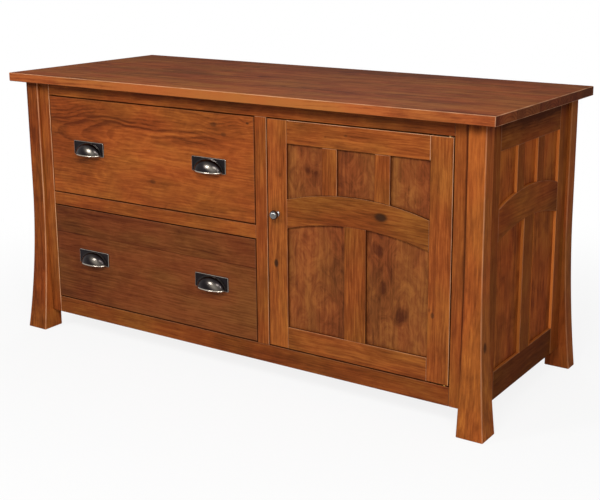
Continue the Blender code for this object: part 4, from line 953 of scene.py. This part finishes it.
class CREDENZA_OT_pulls(bpy.types.Operator):
    """Cast the four cup pulls"""

    bl_idname = "credenza.pulls"
    bl_label = "Cup Pulls"

    def execute(self, context):
        metals = context.scene.credenza_metal
        material = plated("black_nickel_plate", metals.black_nickel, 0.23, metals.edge_highlight)
        for level in ("upper", "lower"):
            for side in ("left", "right"):
                self.cast("pull_" + level + "_" + side, "drawer_" + level, material)
        return {"FINISHED"}

    def cast(self, node, body, material):
        low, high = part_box(node)
        centre = (low[0] + high[0]) / 2
        face, lip = low[1] + CUP_DEPTH, low[2] + CUP_LIFT
        self.cast_cup(node, body, material, (centre, face, lip))

        plate = block((low[0], face, low[2]), high)
        layer = plate.faces.layers.float.new("edge")
        upright = [e for e in plate.edges if abs(e.verts[0].co.y - e.verts[1].co.y) > 0.001]
        bevel(plate, upright, 0.003, 6, layer, 0.0)
        border = [e for e in plate.edges if all(abs(v.co.y - face) < 1e-6 for v in e.verts)]
        # The plate's front border takes the full painted highlight
        bevel(plate, border, 0.0012, 3, layer, 1.0)
        for width, height, out, back, rounding in CUP_ARCS:
            foot = (centre, face + back, lip)
            ring = bmesh.ops.create_circle(plate, cap_ends=True, segments=96, radius=1.0)["verts"]
            turn = Matrix.Rotation(math.radians(90), 3, "X")
            bmesh.ops.rotate(plate, cent=(0, 0, 0), matrix=turn, verts=ring)
            bmesh.ops.scale(plate, vec=(width / 2, 1.0, height), verts=ring)
            bmesh.ops.translate(plate, vec=foot, verts=ring)
            faces = list({f for v in ring for f in v.link_faces})
            edges = list({e for v in ring for e in v.link_edges})
            halved = bmesh.ops.bisect_plane(plate, geom=ring + faces + edges, plane_co=foot,
                                            plane_no=(0, 0, -1), clear_outer=True)["geom"]
            left = [g for g in halved if isinstance(g, bmesh.types.BMFace) and g.is_valid]
            made = bmesh.ops.extrude_face_region(plate, geom=left)["geom"]
            moved = [g for g in made if isinstance(g, bmesh.types.BMVert)]
            bmesh.ops.translate(plate, vec=(0, -out - back, 0), verts=moved)
            bmesh.ops.recalc_face_normals(plate, faces=plate.faces)
            rim = [e for e in plate.edges
                   if all(v in moved for v in e.verts) and len(e.link_faces) == 2]
            # The arcs' rounded rims take a faint painted highlight
            bevel(plate, rim, rounding, 2, layer, 0.14)
        make_piece(node + "_plate", plate, material, body, "black_nickel", node)

    def cast_cup(self, node, body, material, place):
        """The hollow quarter of an ellipsoid that fingers go behind."""
        cup = bmesh.new()
        edge = cup.faces.layers.float.new("edge")
        bmesh.ops.create_uvsphere(cup, u_segments=72, v_segments=36, radius=1.0)
        bmesh.ops.scale(cup, vec=(CUP_HALF_WIDTH, CUP_DEPTH, CUP_HEIGHT), verts=cup.verts)
        for normal in ((0, 0, -1), (0, 1, 0)):
            geometry = cup.verts[:] + cup.edges[:] + cup.faces[:]
            bmesh.ops.bisect_plane(cup, geom=geometry, plane_co=(0, 0, 0), plane_no=normal,
                                   clear_outer=True)
        bmesh.ops.recalc_face_normals(cup, faces=cup.faces)
        bmesh.ops.solidify(cup, geom=cup.faces[:], thickness=CUP_WALL)
        for face in cup.faces:
            height = face.calc_center_median().z
            # The lip takes the painted highlight, standing for the floor's reflection
            if height < CUP_WALL * 0.9:
                face[edge] = 1.0
            face.smooth = abs(face.normal.z) <= 0.95 or height >= CUP_WALL * 0.4
        # Paints a slanting highlight on the crown, shaped like a place that fingers rub bright
        rubbed = cup.verts.layers.float.new("rubbed")
        for vert in cup.verts:
            aside, above = vert.co.x - 0.020, vert.co.z - 0.0135
            down, over = aside * 0.88 - above * 0.48, aside * 0.48 + above * 0.88
            vert[rubbed] = math.exp(-(down / 0.017) ** 2 - (over / 0.0058) ** 2)
        bmesh.ops.translate(cup, vec=place, verts=cup.verts)
        make_piece(node + "_cup", cup, material, body, "black_nickel", node)


class CREDENZA_OT_knob(bpy.types.Operator):
    """Turn the door's knob"""

    bl_idname = "credenza.knob"
    bl_label = "Door Knob"

    def execute(self, context):
        metals = context.scene.credenza_metal
        radius = context.scene.credenza_shape.knob_radius
        low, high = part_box("door_knob")
        centre = Vector(((low[0] + high[0]) / 2, high[1], (low[2] + high[2]) / 2))
        length = high[1] - low[1]
        outline = ((0.62, 0.0), (0.625, 0.05), (0.60, 0.08), (0.42, 0.12), (0.375, 0.18),
                   (0.375, 0.34), (0.46, 0.40), (0.86, 0.45), (0.96, 0.50), (1.0, 0.58),
                   (0.985, 0.67), (0.90, 0.78), (0.74, 0.88), (0.50, 0.955), (0.25, 0.99),
                   (0.0, 1.0))
        bm = bmesh.new()
        points = [bm.verts.new(centre + Vector((r * radius, -t * length, 0))) for r, t in outline]
        edges = [bm.edges.new(pair) for pair in zip(points, points[1:])]
        bmesh.ops.spin(bm, geom=points + edges, cent=centre, axis=(0, 1, 0),
                       angle=math.radians(360), steps=56, use_merge=True)
        bmesh.ops.remove_doubles(bm, verts=bm.verts, dist=1e-6)
        bmesh.ops.holes_fill(bm, edges=[e for e in bm.edges if e.is_boundary], sides=0)
        bmesh.ops.recalc_face_normals(bm, faces=bm.faces)
        for face in bm.faces:
            face.smooth = len(face.verts) < 8
        knob = make_piece("door_knob_turned", bm, plated("nickel_knob", metals.nickel, 0.16),
                          "door", "polished_nickel", "door_knob")
        rounder = knob.modifiers.new("Rounder", "SUBSURF")
        rounder.levels = rounder.render_levels = 1
        return {"FINISHED"}


class CREDENZA_OT_hardware(bpy.types.Operator):
    """Plate the slides, pivots and strike, and give the catch its moulded plastic"""

    bl_idname = "credenza.hardware"
    bl_label = "Slides and Pivots"

    def execute(self, context):
        metals = context.scene.credenza_metal
        zinc = plated("zinc_plate", metals.zinc, 0.34, brushed=0.14, along=1)
        brass = plated("brushed_brass", metals.brass, 0.30, brushed=0.10, along=0)
        plastic = moulded("catch_plastic_grain", metals.plastic)
        for name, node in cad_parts.items():
            if name.startswith("slide_"):
                paint(node, zinc)
            elif name.startswith("hinge_"):
                paint(node, brass)
            elif "catch" in name:
                paint(node, plastic)
            elif "strike" in name:
                paint(node, zinc)
        return {"FINISHED"}


class CREDENZA_OT_stage(bpy.types.Operator):
    """Lay the floor, hang the lamps and set the camera"""

    bl_idname = "credenza.stage"
    bl_label = "Floor, Light and Camera"

    def execute(self, context):
        stage = context.scene.credenza_stage
        scene = context.scene
        self.floor(stage)
        self.world(scene, stage)
        aim = Vector((0.1, 0.0, 0.38))
        self.lamp("front_lamp", (0.9, -2.5, 2.5), aim, (1.1, 0.8), stage.front)
        self.lamp("left_lamp", (-1.3, -2.6, 1.95), aim, (0.6, 0.6), stage.left)
        self.lamp("right_lamp", (2.3, -2.3, 2.0), aim, (0.5, 1.2), stage.right)
        self.lamp("back_lamp", (-1.6, 2.9, 2.5), aim, (1.2, 1.2), stage.back)
        self.camera(scene, stage)
        scene.view_settings.view_transform = "Standard"
        return {"FINISHED"}

    def floor(self, stage):
        graph = Graph(bpy.data.materials.new("pale_floor"))
        point = graph.place()
        fleck = graph.noise(*(part * 40.0 for part in point), 2.0)
        tint = graph.mix(graph.fade(fleck, -0.3, 0.3), [part * 0.98 for part in stage.floor],
                         stage.floor)
        matt = graph.node("ShaderNodeBsdfDiffuse", values={"Color": tint})
        glow = graph.node("ShaderNodeEmission", values={"Color": (1.0, 1.0, 1.0, 1.0)})
        # The floor is white further out, and keeps the shadow near the object
        apart = graph.maths("SQRT", point[0] * point[0] + point[1] * point[1])
        white = graph.fade(apart, 0.6, 1.9, 0.86, 1.0)
        seen = self.seen(graph)
        mixed = graph.node("ShaderNodeMixShader", values={0: seen * white, 1: matt, 2: glow})
        graph.node("ShaderNodeOutputMaterial", values={"Surface": mixed})
        bm = bmesh.new()
        bmesh.ops.create_grid(bm, x_segments=2, y_segments=2, size=9.0)
        floor = put_in_scene("floor", bm, graph.owner)
        floor.location.z = -0.0005

    def seen(self, graph):
        """1 for what the camera, a reflection or a glass sees, 0 for what lights the object."""
        path = graph.node("ShaderNodeLightPath").socket.node.outputs
        camera, glossy, through = (Wire(graph, path[name]) for name in (
            "Is Camera Ray", "Is Glossy Ray", "Is Transmission Ray"))
        return graph.maths("MAXIMUM", camera, graph.maths("MAXIMUM", glossy, through))

    def world(self, scene, stage):
        scene.world = bpy.data.worlds.new("studio")
        graph = Graph(scene.world)
        white = {0: (1.0, 1.0, 1.0, 1.0)}
        seen = graph.node("ShaderNodeBackground", values={**white, 1: 1.0})
        room = graph.node("ShaderNodeBackground", values={**white, 1: stage.ambient})
        mixed = graph.node("ShaderNodeMixShader", values={0: self.seen(graph), 1: room, 2: seen})
        graph.node("ShaderNodeOutputWorld", values={"Surface": mixed})

    def lamp(self, name, place, aim, size, power):
        light = bpy.data.lights.new(name, "AREA")
        light.shape = "RECTANGLE"
        light.size, light.size_y = size
        light.energy = power
        lamp = bpy.data.objects.new(name, light)
        lamp.location = place
        lamp.rotation_euler = (aim - Vector(place)).to_track_quat("-Z", "Y").to_euler()
        bpy.context.scene.collection.objects.link(lamp)

    def camera(self, scene, stage):
        lens = bpy.data.cameras.new("camera")
        lens.sensor_width = 36.0
        lens.sensor_fit = "HORIZONTAL"
        lens.lens = stage.lens
        lens.shift_x, lens.shift_y = CAMERA_SHIFT
        lens.clip_end = 100.0
        camera = bpy.data.objects.new("camera", lens)
        camera.location = CAMERA_PLACE
        camera.rotation_euler = (math.radians(90 - CAMERA_TIP), 0.0, math.radians(CAMERA_TURN))
        scene.collection.objects.link(camera)
        scene.camera = camera


PIECES = (
    CREDENZA_OT_top, CREDENZA_OT_face_frame, CREDENZA_OT_posts, CREDENZA_OT_end_frames,
    CREDENZA_OT_shelf_pins, CREDENZA_OT_panels, CREDENZA_OT_door, CREDENZA_OT_drawers,
    CREDENZA_OT_drawer_boxes, CREDENZA_OT_inside, CREDENZA_OT_pulls, CREDENZA_OT_knob,
    CREDENZA_OT_hardware, CREDENZA_OT_stage,
)


class CREDENZA_PT_panel(bpy.types.Panel):
    """Lists the pieces and their settings"""

    bl_label = "Credenza"
    bl_idname = "CREDENZA_PT_panel"
    bl_space_type = "VIEW_3D"
    bl_region_type = "UI"
    bl_category = "Credenza"

    def draw(self, context):
        for piece in PIECES:
            self.layout.operator(piece.bl_idname)
        for name, group in GROUPS:
            box = self.layout.box()
            box.label(text=group.__doc__)
            for setting in group.__annotations__:
                box.prop(getattr(context.scene, name), setting)


GROUPS = (
    ("credenza_wood", WoodSettings),
    ("credenza_metal", MetalSettings),
    ("credenza_shape", ShapeSettings),
    ("credenza_stage", StageSettings),
)


def register():
    for name, group in GROUPS:
        bpy.utils.register_class(group)
        setattr(bpy.types.Scene, name, PointerProperty(type=group))
    for piece in PIECES:
        bpy.utils.register_class(piece)
    bpy.utils.register_class(CREDENZA_PT_panel)


def unregister():
    bpy.utils.unregister_class(CREDENZA_PT_panel)
    for piece in reversed(PIECES):
        bpy.utils.unregister_class(piece)
    for name, group in reversed(GROUPS):
        delattr(bpy.types.Scene, name)
        bpy.utils.unregister_class(group)


def main():
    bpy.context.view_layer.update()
    register()
    bpy.ops.credenza.top()
    bpy.ops.credenza.face_frame()
    bpy.ops.credenza.posts()
    bpy.ops.credenza.end_frames()
    bpy.ops.credenza.shelf_pins()
    bpy.ops.credenza.panels()
    bpy.ops.credenza.door()
    bpy.ops.credenza.drawers()
    bpy.ops.credenza.drawer_boxes()
    bpy.ops.credenza.inside()
    bpy.ops.credenza.pulls()
    bpy.ops.credenza.knob()
    bpy.ops.credenza.hardware()
    bpy.ops.credenza.stage()


if __name__ == "__main__":
    main()
